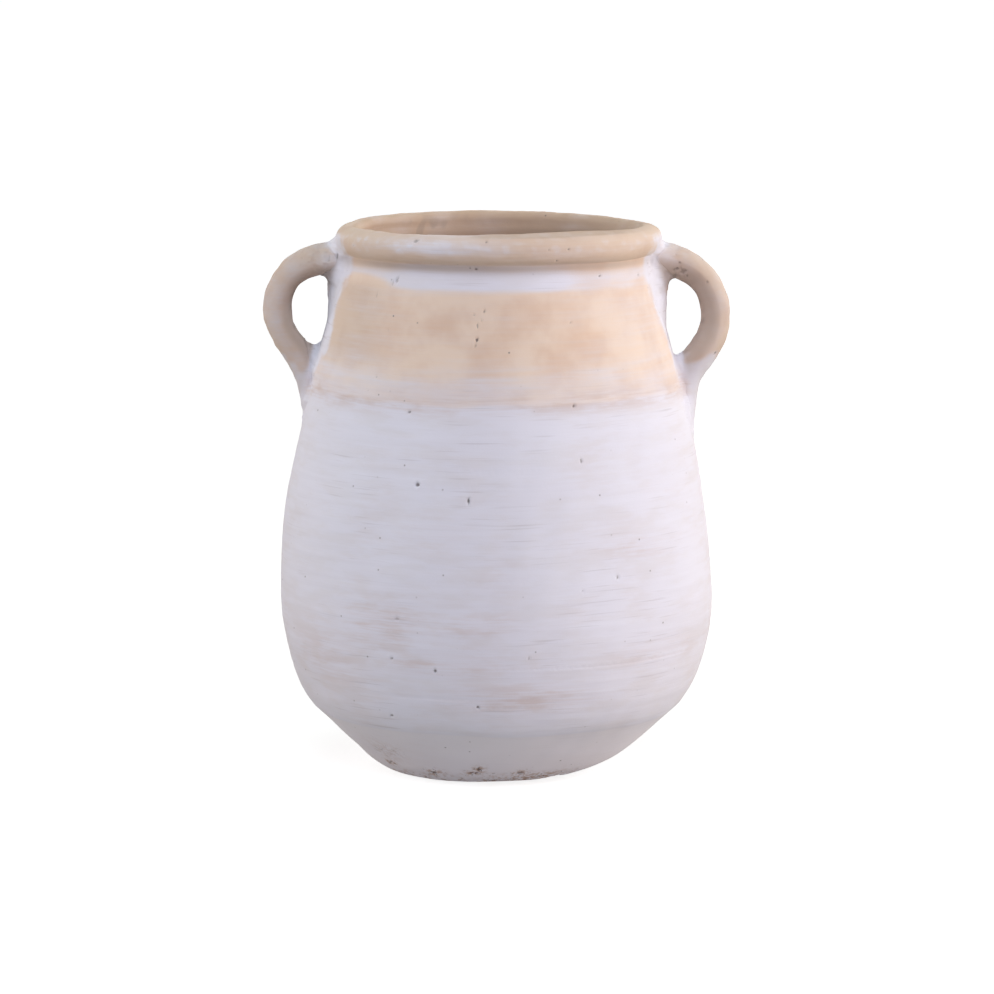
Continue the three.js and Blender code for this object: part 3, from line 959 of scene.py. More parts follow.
@dataclass
class WallRing(WallPiece):
    """A ring of the wall: an outside stretch, an inside stretch, and the joint faces between."""

    low: float
    high: float
    outer_rows: int
    inner_rows: int
    foot_joint: Joint = Joint.STEPPED
    gathers: tuple[Triple, ...] = ()

    def stretches(self, wall: Wall) -> list[Array]:
        """Lengths of the rows outside, and inside from the top down to the joint under them."""
        start = float(wall.outer_length(self.low))
        stop = float(wall.outer_length(self.high))
        moved = [(float(wall.outer_length(height)), reach, weight) for height, reach, weight in self.gathers]
        tongue = wall.section.tongue
        lift = 0 if self.foot_joint is Joint.FLAT else tongue
        top = float(wall.inner_length(self.high + tongue))
        foot = float(wall.inner_length(self.low + lift))
        return [graded(start, stop, self.outer_rows, moved), np.linspace(top, foot, self.inner_rows + 1)]

    def build(self, wall: Wall, skin: Skin) -> bpy.types.Object:
        """Cuts the ring out of the skin, with a tongue on it and a rebate or a flat face under it."""
        outer, inner = self.stretches(wall)
        parts = [skin.rows(outer), wall.step_rows(self.high, -1), skin.rows(inner)]
        if self.foot_joint is Joint.STEPPED:
            parts.append(wall.step_rows(self.low, 1)[::-1])
        return skin.cut(parts).to_object(self.name)


@dataclass
class RolledRim(WallPiece):
    """The rim coil: one stretch of the skin from the neck over the roll to the mouth."""

    rows: int = 96

    def stretches(self, wall: Wall) -> list[Array]:
        """Lengths of the rows, from the neck's joint outside to the one inside."""
        neck = wall.section.neck_height
        start = float(wall.outer_length(neck))
        stop = float(wall.inner_length(neck + wall.section.tongue))
        return [np.linspace(start, stop, self.rows + 1)]

    def build(self, wall: Wall, skin: Skin) -> bpy.types.Object:
        """Cuts the coil out of the skin and closes it with the rebate under it."""
        rebate = wall.step_rows(wall.section.neck_height, 1)[::-1]
        return skin.cut([skin.rows(self.stretches(wall)[0]), rebate]).to_object(self.name)


@dataclass
class FloorSlab(WallPiece):
    """The floor: its underside, the worn round edge of the foot, and the floor inside."""

    under_rows: int = 30
    edge_rows: int = 44
    floor_rows: int = 24

    def stretches(self, wall: Wall) -> list[Array]:
        """Lengths of the rows underneath and round the edge, and of those on the floor inside."""
        under = np.linspace(0, wall.body_start, self.under_rows + 1)
        edge = np.linspace(under[-1], float(wall.outer_length(wall.section.floor)), self.edge_rows + 1)
        return [joined([under, edge]), np.linspace(wall.inner_span[1], wall.full, self.floor_rows + 1)]

    def build(self, wall: Wall, skin: Skin) -> bpy.types.Object:
        """Cuts the slab out of the skin, with a pole under it and one on its floor."""
        parts = [skin.rows(stretch) for stretch in self.stretches(wall)]
        return skin.cut(parts, poles=True).to_object(self.name)


# Handles


@dataclass(frozen=True)
class LoopPath:
    """Middle line of a strap in the plane through the vase's axis: x is out, z is up."""

    root_reach: float
    root_height: float
    root_droop: float
    root_pull: float
    crest_reach: float
    crest_height: float
    over_pull: float
    under_pull: float
    foot_reach: float
    foot_height: float
    foot_lean: float
    foot_pull: float
    run_on: float = 26.0

    def line(self) -> Array:
        """Two cubic curves that meet at the crest, and a straight run on into the wall."""
        root = np.array([self.root_reach, self.root_height])
        crest = np.array([self.crest_reach, self.crest_height])
        foot = np.array([self.foot_reach, self.foot_height])
        root_way = np.array([1, -self.root_droop]) / math.hypot(1, self.root_droop)
        foot_way = np.array([self.foot_lean, 1]) / math.hypot(1, self.foot_lean)
        over = crest + (0, self.over_pull)
        under = crest - (0, self.under_pull)
        return joined([
            cubic([root, root + root_way * self.root_pull, over, crest], 160),
            cubic([crest, under, foot + foot_way * self.foot_pull, foot], 160),
            np.stack([foot, foot - foot_way * self.run_on]),
        ])


@dataclass(frozen=True)
class Nick:
    """A gouge, a flat or a crumb on a strap: x is out from the axis, y is across, z is up."""

    reach: float
    across: float
    height: float
    size: float
    depth: float
    # How dark it is painted: dirt in gouges and crumbs, and painted shade where it sits in a crevice at a
    # strap's root
    dark: float = 0.0
    # How many times its width it is high
    stretch: float = 1.0


@dataclass
class PulledHandle:
    """A strap of clay pulled by hand and bent into a loop, its section a lens with soft edges."""

    side: Side
    path: LoopPath
    root_thickness: float
    crest_thickness: float
    foot_thickness: float
    root_width: float = 29.0
    loop_width: float = 25.0
    foot_width: float = 27.0
    ridge: float = 1.2
    # How far the section's two edges lie out of its middle line, away from the hollow
    edge_shift: float = 0.0
    rows: int = 260
    columns: int = 112
    buried: float = 5.0
    nicks: tuple[Nick, ...] = ()
    line: ClayLine = field(init=False)

    def __post_init__(self) -> None:
        """Measures the middle line."""
        self.line = ClayLine(self.path.line(), 1.0)

    @property
    def word(self) -> str:
        """The side's name in the names of the pieces."""
        return self.side.name.lower()

    @property
    def seed(self) -> int:
        """Start of the random draws of the strap's unevenness, of which it takes three."""
        return 60 if self.side is Side.RIGHT else 70

    def along(self, values: Triple, upper: Pair, lower: Pair, share: Array) -> Array:
        """A size along the loop: at the root, the crest and the foot, eased over two ranges between."""
        root, crest, foot = values
        return blend(blend(root, crest, smooth_step(*upper, share)), foot, smooth_step(*lower, share))

    def surface(self, lengths: Array, around: Array) -> Array:
        """Points of the strap: the lens section carried along the middle line.

        Out of the loop the section is half the thickness times a power of the sine, and across
        it is half the width times the cosine. The edges are shifted by a share of the cosine
        squared. The hand's unevenness is noise.

        Args:
            lengths: Lengths along the middle line.
            around: Angles round the section, the loop's outside at a quarter turn.

        Returns:
            Points with x out from the vase's axis.
        """
        lengths, around = np.broadcast_arrays(lengths, around)
        share = lengths / (self.line.length[-1] - self.path.run_on)
        sizes = (self.root_thickness, self.crest_thickness, self.foot_thickness)
        thickness = self.along(sizes, (0.05, 0.45), (0.55, 0.95), share)
        width = self.along((self.root_width, self.loop_width, self.foot_width), (0.0, 0.4), (0.6, 1.0), share)
        middle_x, middle_z, in_x, in_z = self.line.at(lengths)
        sine = np.sin(around)
        rise = thickness / 2 * np.sign(sine) * np.abs(sine) ** self.ridge
        rise += self.edge_shift * np.cos(around) ** 2
        across = width / 2 * np.cos(around)
        even = np.stack([middle_x - in_x * rise, across, middle_z - in_z * rise], axis=-1)
        uneven = 0.26 * ripple(even, 19, self.seed) + 0.13 * ripple(even, 8, self.seed + 1)
        rise *= 1 + uneven / np.maximum(thickness / 2, 1)
        across *= 1 + 0.04 * ripple(even, 24, self.seed + 2)
        return np.stack([middle_x - in_x * rise, across, middle_z - in_z * rise], axis=-1)

    def kept_in_clay(self, points: Array, wall: Wall) -> Array:
        """Moves points that lie too deep in the wall out to the depth that the strap is buried."""
        reach = np.hypot(points[..., 0], points[..., 1])
        least = self.wall_radius(points, wall) - self.buried
        push = np.maximum(least / np.maximum(reach, 1), 1)
        return points * np.stack([push, push, np.ones_like(push)], axis=-1)

    def wall_radius(self, points: Array, wall: Wall) -> Array:
        """Radius of the wall at the points' heights, taken just under the rim's crest above it."""
        return wall.radius(np.clip(points[..., 2], 0, wall.section.height - 1))

    def nicked(self, points: Array, normals: Array) -> tuple[Array, Array]:
        """Presses the nicks in, each deepest at its middle, and tells where it is dark."""
        away = np.zeros(points.shape[:-1])
        dark = np.zeros(points.shape[:-1])
        for nick in self.nicks:
            way = points - np.array([nick.reach, nick.across, nick.height])
            distance = np.linalg.norm(way / np.array([1.0, 2.5, nick.stretch]), axis=-1)
            distance *= 1.1 + 0.35 * ripple(points, 2.6, 90)
            share = fall(0.35, 1.25, distance / nick.size)
            away += nick.depth * share
            dark = np.maximum(dark, nick.dark * share)
        return points - normals * away[..., None], dark

    def turned(self, vectors: Array) -> Array:
        """Turns points or normals to the handle's side of the vase."""
        if self.side is Side.RIGHT:
            return vectors
        return vectors * np.array([-1.0, -1.0, 1.0])

    def tints(self, wall: Wall, placed: Array) -> dict[str, Array]:
        """Tints of the strap or its luting at their places on the vase."""
        angles = np.arctan2(placed[..., 1], placed[..., 0])
        radii = np.hypot(placed[..., 0], placed[..., 1])
        return Tints(wall).on(placed, angles, placed[..., 2], radii, np.zeros(radii.shape))

    def build(self, wall: Wall) -> bpy.types.Object:
        """Makes the strap, closed with a pole at each buried end.

        Args:
            wall: The wall that the strap grows from.

        Returns:
            The strap as an object.
        """
        lengths = np.linspace(0, self.line.length[-1], self.rows + 1)
        around = np.linspace(0, 2 * math.pi, self.columns, endpoint=False)
        points = self.kept_in_clay(self.surface(lengths[:, None], around[None, :]), wall)
        points, dark = self.nicked(points, grid_normals(points))
        normals = grid_normals(points)
        tips = [end.mean(axis=1, keepdims=True) for end in (points[:1], points[-1:])]
        first, last = (np.repeat(tip, self.columns, axis=1) for tip in tips)
        placed = self.turned(np.concatenate([first, points, last]))
        normals = self.turned(np.concatenate([normals[:1], normals, normals[-1:]]))
        dark = np.concatenate([dark[:1], dark, dark[-1:]])
        tints = self.tints(wall, placed)
        # Painted shade: the hollow of the loop is painted darker on its inner face, with less slip up from
        # the tail, and a darker painted shade runs along the hollow's middle
        hollow = smooth_step(-0.1, 0.6, -np.sin(around))
        tints["handled"] *= 0.52 + 0.48 * hollow
        tints["wash"] *= 1 - 0.5 * hollow * smooth_step(224, 238, placed[..., 2])
        hollow_shade = smooth_step(0.66, 0.96, -np.sin(around)) * (0.3 + 0.12 * ripple(placed, 7, 92))
        tints["pit"] = np.clip(np.maximum(dark, hollow_shade), 0, 1)
        shown = np.ones(len(placed), bool)
        return Grid(placed, normals, shown, tints, poles=True).to_object(f"pulled_handle_{self.word}")


class Root(Enum):
    """Which end of a strap the luting holds."""

    NECK = "neck"
    TAIL = "tail"


@dataclass(frozen=True)
class Reach:
    """A length that differs round the strap: on the loop's outside, at its sides, in its hollow."""

    outside: float
    sides: float
    hollow: float

    def at(self, around: Array) -> Array:
        """The length at angles round the section, eased between the three."""
        sine = np.sin(around)
        outer = np.maximum(sine, 0) ** 2
        inner = np.maximum(-sine, 0) ** 2
        return self.sides + (self.outside - self.sides) * outer + (self.hollow - self.sides) * inner


@dataclass
class Luting:
    """Soft clay smeared round the end of a strap: a skirt that sweeps from the strap to the wall.

    Round the strap, each line of the skirt is a curve with three points: one on the strap, one
    that pulls it towards the corner, and one on the wall. The skirt closes through the clay.
    """

    handle: PulledHandle
    root: Root
    on_strap: Reach
    pulled_at: Reach
    on_wall: Reach
    edge: Reach
    columns: int = 128
    sweep: int = 20
    # Steps along the strap at which its way out of the wall is looked for
    search: int = 700
    # Columns over which the corner's line is evened out, and the bell's reach in columns
    even_reach: int = 12
    even_bell: float = 5.0
    # Height of the skirt over the strap and the wall, in millimetres
    proud: float = 0.03
    # Hidden rows: the wall's, drawn in to this share, and how far two go to the strap's middle
    under_share: float = 0.975
    deep_share: float = 0.35
    strap_share: float = 0.3

    def crossing(self, wall: Wall, around: Array) -> Array:
        """Lengths along the strap at which its lines come out of the wall, evened out round it.

        Args:
            wall: The wall.
            around: Angles round the section.

        Returns:
            One length for each angle.
        """
        handle = self.handle
        lengths = np.linspace(0, handle.line.length[-1], self.search)
        points = handle.surface(lengths[:, None], around[None, :])
        inside = np.hypot(points[..., 0], points[..., 1]) < handle.wall_radius(points, wall)
        half = self.search // 2
        if self.root is Root.NECK:
            part = inside[:half]
            place = np.where(part.any(axis=0), half - 1 - np.argmax(part[::-1], axis=0), 0)
        else:
            part = inside[half:]
            place = half + np.where(part.any(axis=0), np.argmax(part, axis=0), half - 1)
        spread = bell(np.arange(-self.even_reach, self.even_reach + 1), 0, self.even_bell)
        padded = np.pad(lengths[place], self.even_reach, mode="wrap")
        return np.convolve(padded, spread / spread.sum(), mode="valid")

    def foot_on_wall(self, wall: Wall, corner: Array, around: Array) -> Array:
        """Points on the wall where the skirt runs out, square to the corner's line and out from it.

        Args:
            wall: The wall.
            corner: Points where the strap comes out of the wall.
            around: Angles round the section.

        Returns:
            Points with x out from the vase's axis.
        """
        handle = self.handle
        radius = wall.radius(corner[:, 2])
        angle = np.arctan2(corner[:, 1], corner[:, 0])
        flat = np.stack([angle * radius, wall.outer_length(corner[:, 2])], axis=-1)
        tangent = unit(np.roll(flat, -3, axis=0) - np.roll(flat, 3, axis=0))
        out = np.stack([tangent[:, 1], -tangent[:, 0]], axis=-1)
        out *= np.sign((out * (flat - flat.mean(axis=0))).sum(axis=-1, keepdims=True))
        foot = flat + out * self.on_wall.at(around)[:, None]
        points, _ = wall.place(foot[:, 1], foot[:, 0] / radius + handle.side.value)
        return handle.turned(points)

    def build(self, wall: Wall) -> bpy.types.Object:
        """Makes the skirt.

        Args:
            wall: The wall that it is smeared on.

        Returns:
            The skirt as an object.
        """
        handle = self.handle
        around = np.linspace(0, 2 * math.pi, self.columns, endpoint=False)
        start = self.crossing(wall, around)
        away = 1.0 if self.root is Root.NECK else -1.0
        corner = handle.surface(start, around)
        on_strap = handle.surface(start + away * self.on_strap.at(around), around)
        pulled = handle.surface(start + away * self.pulled_at.at(around), around)
        on_wall = self.foot_on_wall(wall, corner, around)
        share = np.linspace(0, 1, self.sweep + 1)[:, None, None]
        skirt = (1 - share) ** 2 * on_strap + 2 * share * (1 - share) * pulled + share**2 * on_wall
        # Thumbs left lumps on the sweep and a thick edge on the strap
        share = share[..., 0]
        seed = 80 if handle.side is Side.RIGHT else 85
        lump = 0.45 * ripple(skirt, 11, seed) + 0.2 * ripple(skirt, 4.5, seed + 1)
        thick = lump * 4 * share * (1 - share) + self.edge.at(around) * (1 - share) ** 2 + self.proud
        normals = -away * grid_normals(skirt)
        skirt, dark = handle.nicked(skirt + normals * thick[..., None], normals)
        normals = -away * grid_normals(skirt)
        # Hidden rows close the skirt: under the wall, deep in the corner and in the strap
        under_wall = on_wall * np.array([self.under_share, self.under_share, 1.0])
        deep = handle.kept_in_clay(blend(corner, corner.mean(axis=0), self.deep_share), wall)
        in_strap = blend(on_strap, on_strap.mean(axis=0), self.strap_share)
        points = np.concatenate([skirt, [under_wall, deep, in_strap]])
        normals = np.concatenate([normals, np.zeros((3, self.columns, 3))])
        dark = np.concatenate([dark, np.zeros((3, self.columns))])
        if self.root is Root.NECK:
            points, normals, dark = points[:, ::-1], normals[:, ::-1], dark[:, ::-1]
        placed = handle.turned(points)
        tints = handle.tints(wall, placed)
        tints["pit"] = dark
        shown = np.array([True] * self.sweep + [False] * 4)
        grid = Grid(placed, handle.turned(normals), shown, tints)
        return grid.to_object(f"luting_{self.root.value}_{handle.word}")


# Finishes


def linear(code: str) -> tuple[float, float, float, float]:
    """The linear colour of an sRGB hex code such as '#C8A080', with full alpha."""
    parts = [int(code[start : start + 2], 16) / 255 for start in (1, 3, 5)]
    spread = [part / 12.92 if part <= 0.04045 else ((part + 0.055) / 1.055) ** 2.4 for part in parts]
    return (*spread, 1.0)


# A node, and the name or the number of its output
Link = tuple[bpy.types.Node, str | int]


def add_node(
    tree: bpy.types.NodeTree, kind: str, inputs: dict[str | int, object], **settings: object,
) -> bpy.types.Node:
    """Adds a node with its settings, its values and its links.

    Args:
        tree: The node tree.
        kind: Blender's name for the kind of node, without ShaderNode at its start.
        inputs: For each socket a value, or a node and the name of its output.
        settings: Properties of the node.

    Returns:
        The node.
    """
    node = tree.nodes.new("ShaderNode" + kind)
    for name, value in settings.items():
        setattr(node, name, value)
    for name, value in inputs.items():
        if isinstance(value, tuple) and isinstance(value[0], bpy.types.Node):
            tree.links.new(value[0].outputs[value[1]], node.inputs[name])
        else:
            node.inputs[name].default_value = value
    return node


@dataclass
class Mixer:
    """The few sums and patterns that a finish is mixed from, in one node tree."""

    tree: bpy.types.NodeTree

    def noise(self, place: Link, size: float, detail: float) -> Link:
        """Noise of one size in all directions, in millimetres."""
        values = {"Vector": place, "Scale": 1 / (size * MM), "Detail": detail, "Roughness": 0.55}
        return (add_node(self.tree, "TexNoise", values), "Fac")

    def streaks(self, place: Link, length: float, height: float, detail: float) -> Link:
        """Noise drawn out level: a streak's length each way and its height, in millimetres."""
        scale = (1 / (length * MM), 1 / (length * MM), 1 / (height * MM))
        mapped = add_node(self.tree, "Mapping", {"Vector": place, "Scale": scale})
        values = {"Vector": (mapped, "Vector"), "Scale": 1.0, "Detail": detail, "Roughness": 0.6}
        return (add_node(self.tree, "TexNoise", values), "Fac")

    def ranged(self, value: Link, given: Pair, wanted: Pair = (0.0, 1.0)) -> Link:
        """A value carried smoothly from one range to another and held at its ends."""
        values = {"Value": value, "From Min": given[0], "From Max": given[1]}
        values |= {"To Min": wanted[0], "To Max": wanted[1]}
        return (add_node(self.tree, "MapRange", values, interpolation_type="SMOOTHSTEP"), "Result")

    def total(self, *terms: tuple[Link, float]) -> Link:
        """Values times their weights, added up."""
        total: Link | float = 0.0
        for value, weight in terms:
            node = add_node(self.tree, "Math", {0: value, 1: weight, 2: total}, operation="MULTIPLY_ADD")
            total = (node, "Value")
        return total

    def product(self, first: Link, second: Link) -> Link:
        """One value times another."""
        return (add_node(self.tree, "Math", {0: first, 1: second}, operation="MULTIPLY"), "Value")

    def over(self, share: Link, under: Link | str, top: Link | str) -> Link:
        """One colour, from a node or by its hex code, over another by a share."""
        colours = [linear(colour) if isinstance(colour, str) else colour for colour in (under, top)]
        return (add_node(self.tree, "Mix", {0: share, 6: colours[0], 7: colours[1]}, data_type="RGBA"), 2)


@dataclass(frozen=True)
class ClayFinish:
    """Fired earthenware under a brushed lime slip, as one part of the vase shows it.

    The slip is a milky, faintly violet white that dries chalky and uneven: the brush leaves
    level streaks and the peach of the fired clay shows through them. All parts share the same
    colours and streaks, so that they meet without a seam.
    """

    name: str
    # Sizes in millimetres of the brush's streaks and drags, its lines and blotches, and the rest
    streak_length: float = 34.0
    streak_height: float = 1.5
    drag_height: float = 6.5
    line_height: float = 1.1
    blotch: Pair = (30.0, 8.0)
    cloud: float = 26.0
    grit: float = 0.9
    pinhole_spacing: float = 7.0
    # Size of the brush's wavering, and how far it shifts the streaks up and down
    sway: float = 90.0
    sway_height: float = 4.0
    # Depths of streaks and grit in the surface, in millimetres
    streak_depth: float = 0.06
    grit_depth: float = 0.045
    roughness: float = 0.92
    bare: str = "#F1DCCB"
    bare_deep: str = "#E6C9B3"
    raw: str = "#CAB099"
    slip: str = "#EBE8F1"
    slip_thin: str = "#DFD7D4"
    slip_wiped: str = "#DAC8C4"
    trimmed: str = "#EEE8EC"
    # Brown of fingers, also the colour of the painted shade under the roll and in the straps' hollows
    handled: str = "#9E8D85"
    line: str = "#BDB4B8"
    stain: str = "#B48F76"
    speck: str = "#5F4B42"
    # Dark of pits and pinholes, also the colour of the painted shade along the straps' hollows
    pit: str = "#7C706C"

    def fields(self, mix: Mixer) -> dict[str, Link]:
        """The place, the meshes' tints and the patterns that several steps share, by name."""
        place = (add_node(mix.tree, "TexCoord", {}), "Object")
        # The brush wavered, so its streaks do: the place is shifted up and down by slow noise
        slow = {"Vector": place, "Scale": 1 / (self.sway * MM), "Detail": 1.0}
        wander = (add_node(mix.tree, "TexNoise", slow), "Color")
        shift = {0: wander, 1: (0.0, 0.0, self.sway_height * MM), 2: place}
        swayed = (add_node(mix.tree, "VectorMath", shift, operation="MULTIPLY_ADD"), "Vector")
        found = {
            name: (add_node(mix.tree, "Attribute", {}, attribute_name=name), "Fac")
            for name in ("wash", "trim", "thin", "raw", "handled", "stain", "pit")
        }
        found["place"] = place
        found["streak"] = mix.streaks(swayed, self.streak_length, self.streak_height, 3.0)
        found["drag"] = mix.streaks(swayed, self.streak_length, self.drag_height, 2.0)
        found["line"] = mix.streaks(swayed, self.streak_length, self.line_height, 1.0)
        found["blotch"] = mix.ranged(mix.streaks(swayed, *self.blotch, 3.5), (0.40, 0.68))
        found["cloud"] = mix.noise(place, self.cloud, 3.0)
        found["grit"] = mix.noise(place, self.grit, 3.0)
        return found

    def clay(self, mix: Mixer, at: dict[str, Link]) -> Link:
        """The fired clay: wiped to peach, and browner where it was never wiped."""
        wiped = mix.over(mix.ranged(at["cloud"], (0.35, 0.7)), self.bare, self.bare_deep)
        return mix.over(at["raw"], wiped, self.raw)

    def wash(self, mix: Mixer, at: dict[str, Link]) -> Link:
        """The slip: thinner in blotches, streaked with the clay's pink and lined by the bristles."""
        thin = mix.ranged(mix.total((at["streak"], 1.6), (at["blotch"], 0.5)), (0.5, 1.5), (0.1, 1.0))
        slip = mix.over(mix.total((at["blotch"], 0.20)), self.slip, self.slip_thin)
        slip = mix.over(mix.product(at["thin"], thin), slip, self.slip_wiped)
        gate = mix.ranged(mix.noise(at["place"], 48.0, 1.0), (0.44, 0.64), (0.02, 0.30))
        return mix.over(mix.product(mix.ranged(at["line"], (0.60, 0.76)), gate), slip, self.line)

    def worn(self, mix: Mixer, at: dict[str, Link], colour: Link) -> Link:
        """A colour under what use left: brown fingers, a wet tool, earth, rust, and dust in pits.

        The handled and pit tints also lay painted shade under the roll and in the straps' hollows.
        """
        # Brown of fingers, and painted shade under the roll and in the straps' hollows
        colour = mix.over(mix.total((at["handled"], 0.66)), colour, self.handled)
        tool = mix.total((at["trim"], 0.35), (at["drag"], 0.3), (at["cloud"], 0.5))
        colour = mix.over(mix.product(at["trim"], tool), colour, self.trimmed)
        earth = mix.ranged(mix.noise(at["place"], 2.8, 3.0), (0.40, 0.62), (0.0, 0.85))
        colour = mix.over(mix.product(at["stain"], earth), colour, self.stain)
        speck = mix.ranged(mix.noise(at["place"], 2.0, 2.0), (0.60, 0.68))
        colour = mix.over(mix.product(at["stain"], speck), colour, self.speck)
        dust = mix.over(at["stain"], self.pit, self.speck)
        # Dust in pits and nicks, and painted shade along the straps' hollows and at their roots
        colour = mix.over(mix.ranged(at["pit"], (0.1, 1.0), (0.0, 0.8)), colour, dust)
        # Pinholes are the middles of cells, in the few cells whose drawn number is high
        scale = 1 / (self.pinhole_spacing * MM)
        cells = add_node(mix.tree, "TexVoronoi", {"Vector": at["place"], "Scale": scale})
        chance = add_node(mix.tree, "SeparateColor", {"Color": (cells, "Color")})
        hole = mix.ranged((cells, "Distance"), (0.03, 0.11), (0.7, 0.0))
        hole = mix.product(hole, mix.ranged((chance, "Red"), (0.72, 0.95)))
        return mix.over(hole, colour, self.pit)

    def make(self) -> bpy.types.Material:
        """Builds the material, named for its finish."""
        material = bpy.data.materials.new(self.name)
        material.use_nodes = True
        tree = material.node_tree
        tree.nodes.clear()
        mix = Mixer(tree)
        at = self.fields(mix)
        # The slip's cover: the wash, and what the streaks, drags and clouds take off or add
        patterns = ((at["streak"], 0.34), (at["drag"], 0.34), (at["cloud"], 0.30), (at["grit"], 0.1))
        cover = mix.ranged(mix.total((at["wash"], 1.0), *patterns), (0.47, 1.36))
        colour = self.worn(mix, at, mix.over(cover, self.clay(mix, at), self.wash(mix, at)))
        height = mix.total((at["streak"], self.streak_depth), (at["grit"], self.grit_depth))
        relief = add_node(tree, "Bump", {"Height": height, "Strength": 1.0, "Distance": MM})
        shader = add_node(tree, "BsdfPrincipled", {
            "Base Color": colour,
            "Roughness": self.roughness,
            "Diffuse Roughness": 0.6,
            "Specular IOR Level": 0.25,
            "Normal": (relief, "Normal"),
        })
        add_node(tree, "OutputMaterial", {"Surface": (shader, "BSDF")})
        return material


# The finish of each of the record's slots
FINISHES = {
    # Earthenware trimmed with a wet tool: smoother, greyer, with a worn edge
    "trimmed_clay": ClayFinish("trimmed_earthenware_foot", streak_depth=0.08),
    # Lime slip brushed on while the wheel turned: chalky white with level streaks
    "slip_wash": ClayFinish("brushed_lime_slip_on_earthenware"),
    # Earthenware wiped back to its peach body: dry and finely gritty
    "bare_clay": ClayFinish("wiped_peach_earthenware"),
    # Hand-pulled clay, handled smooth and rubbed with thin slip
    "strap_clay": ClayFinish("pulled_earthenware_strap", streak_length=9.0),
    # Luting slurry pushed on with a thumb: thick with slip
    "luting_clay": ClayFinish("smeared_luting_slurry", streak_length=9.0),
}


# The vase


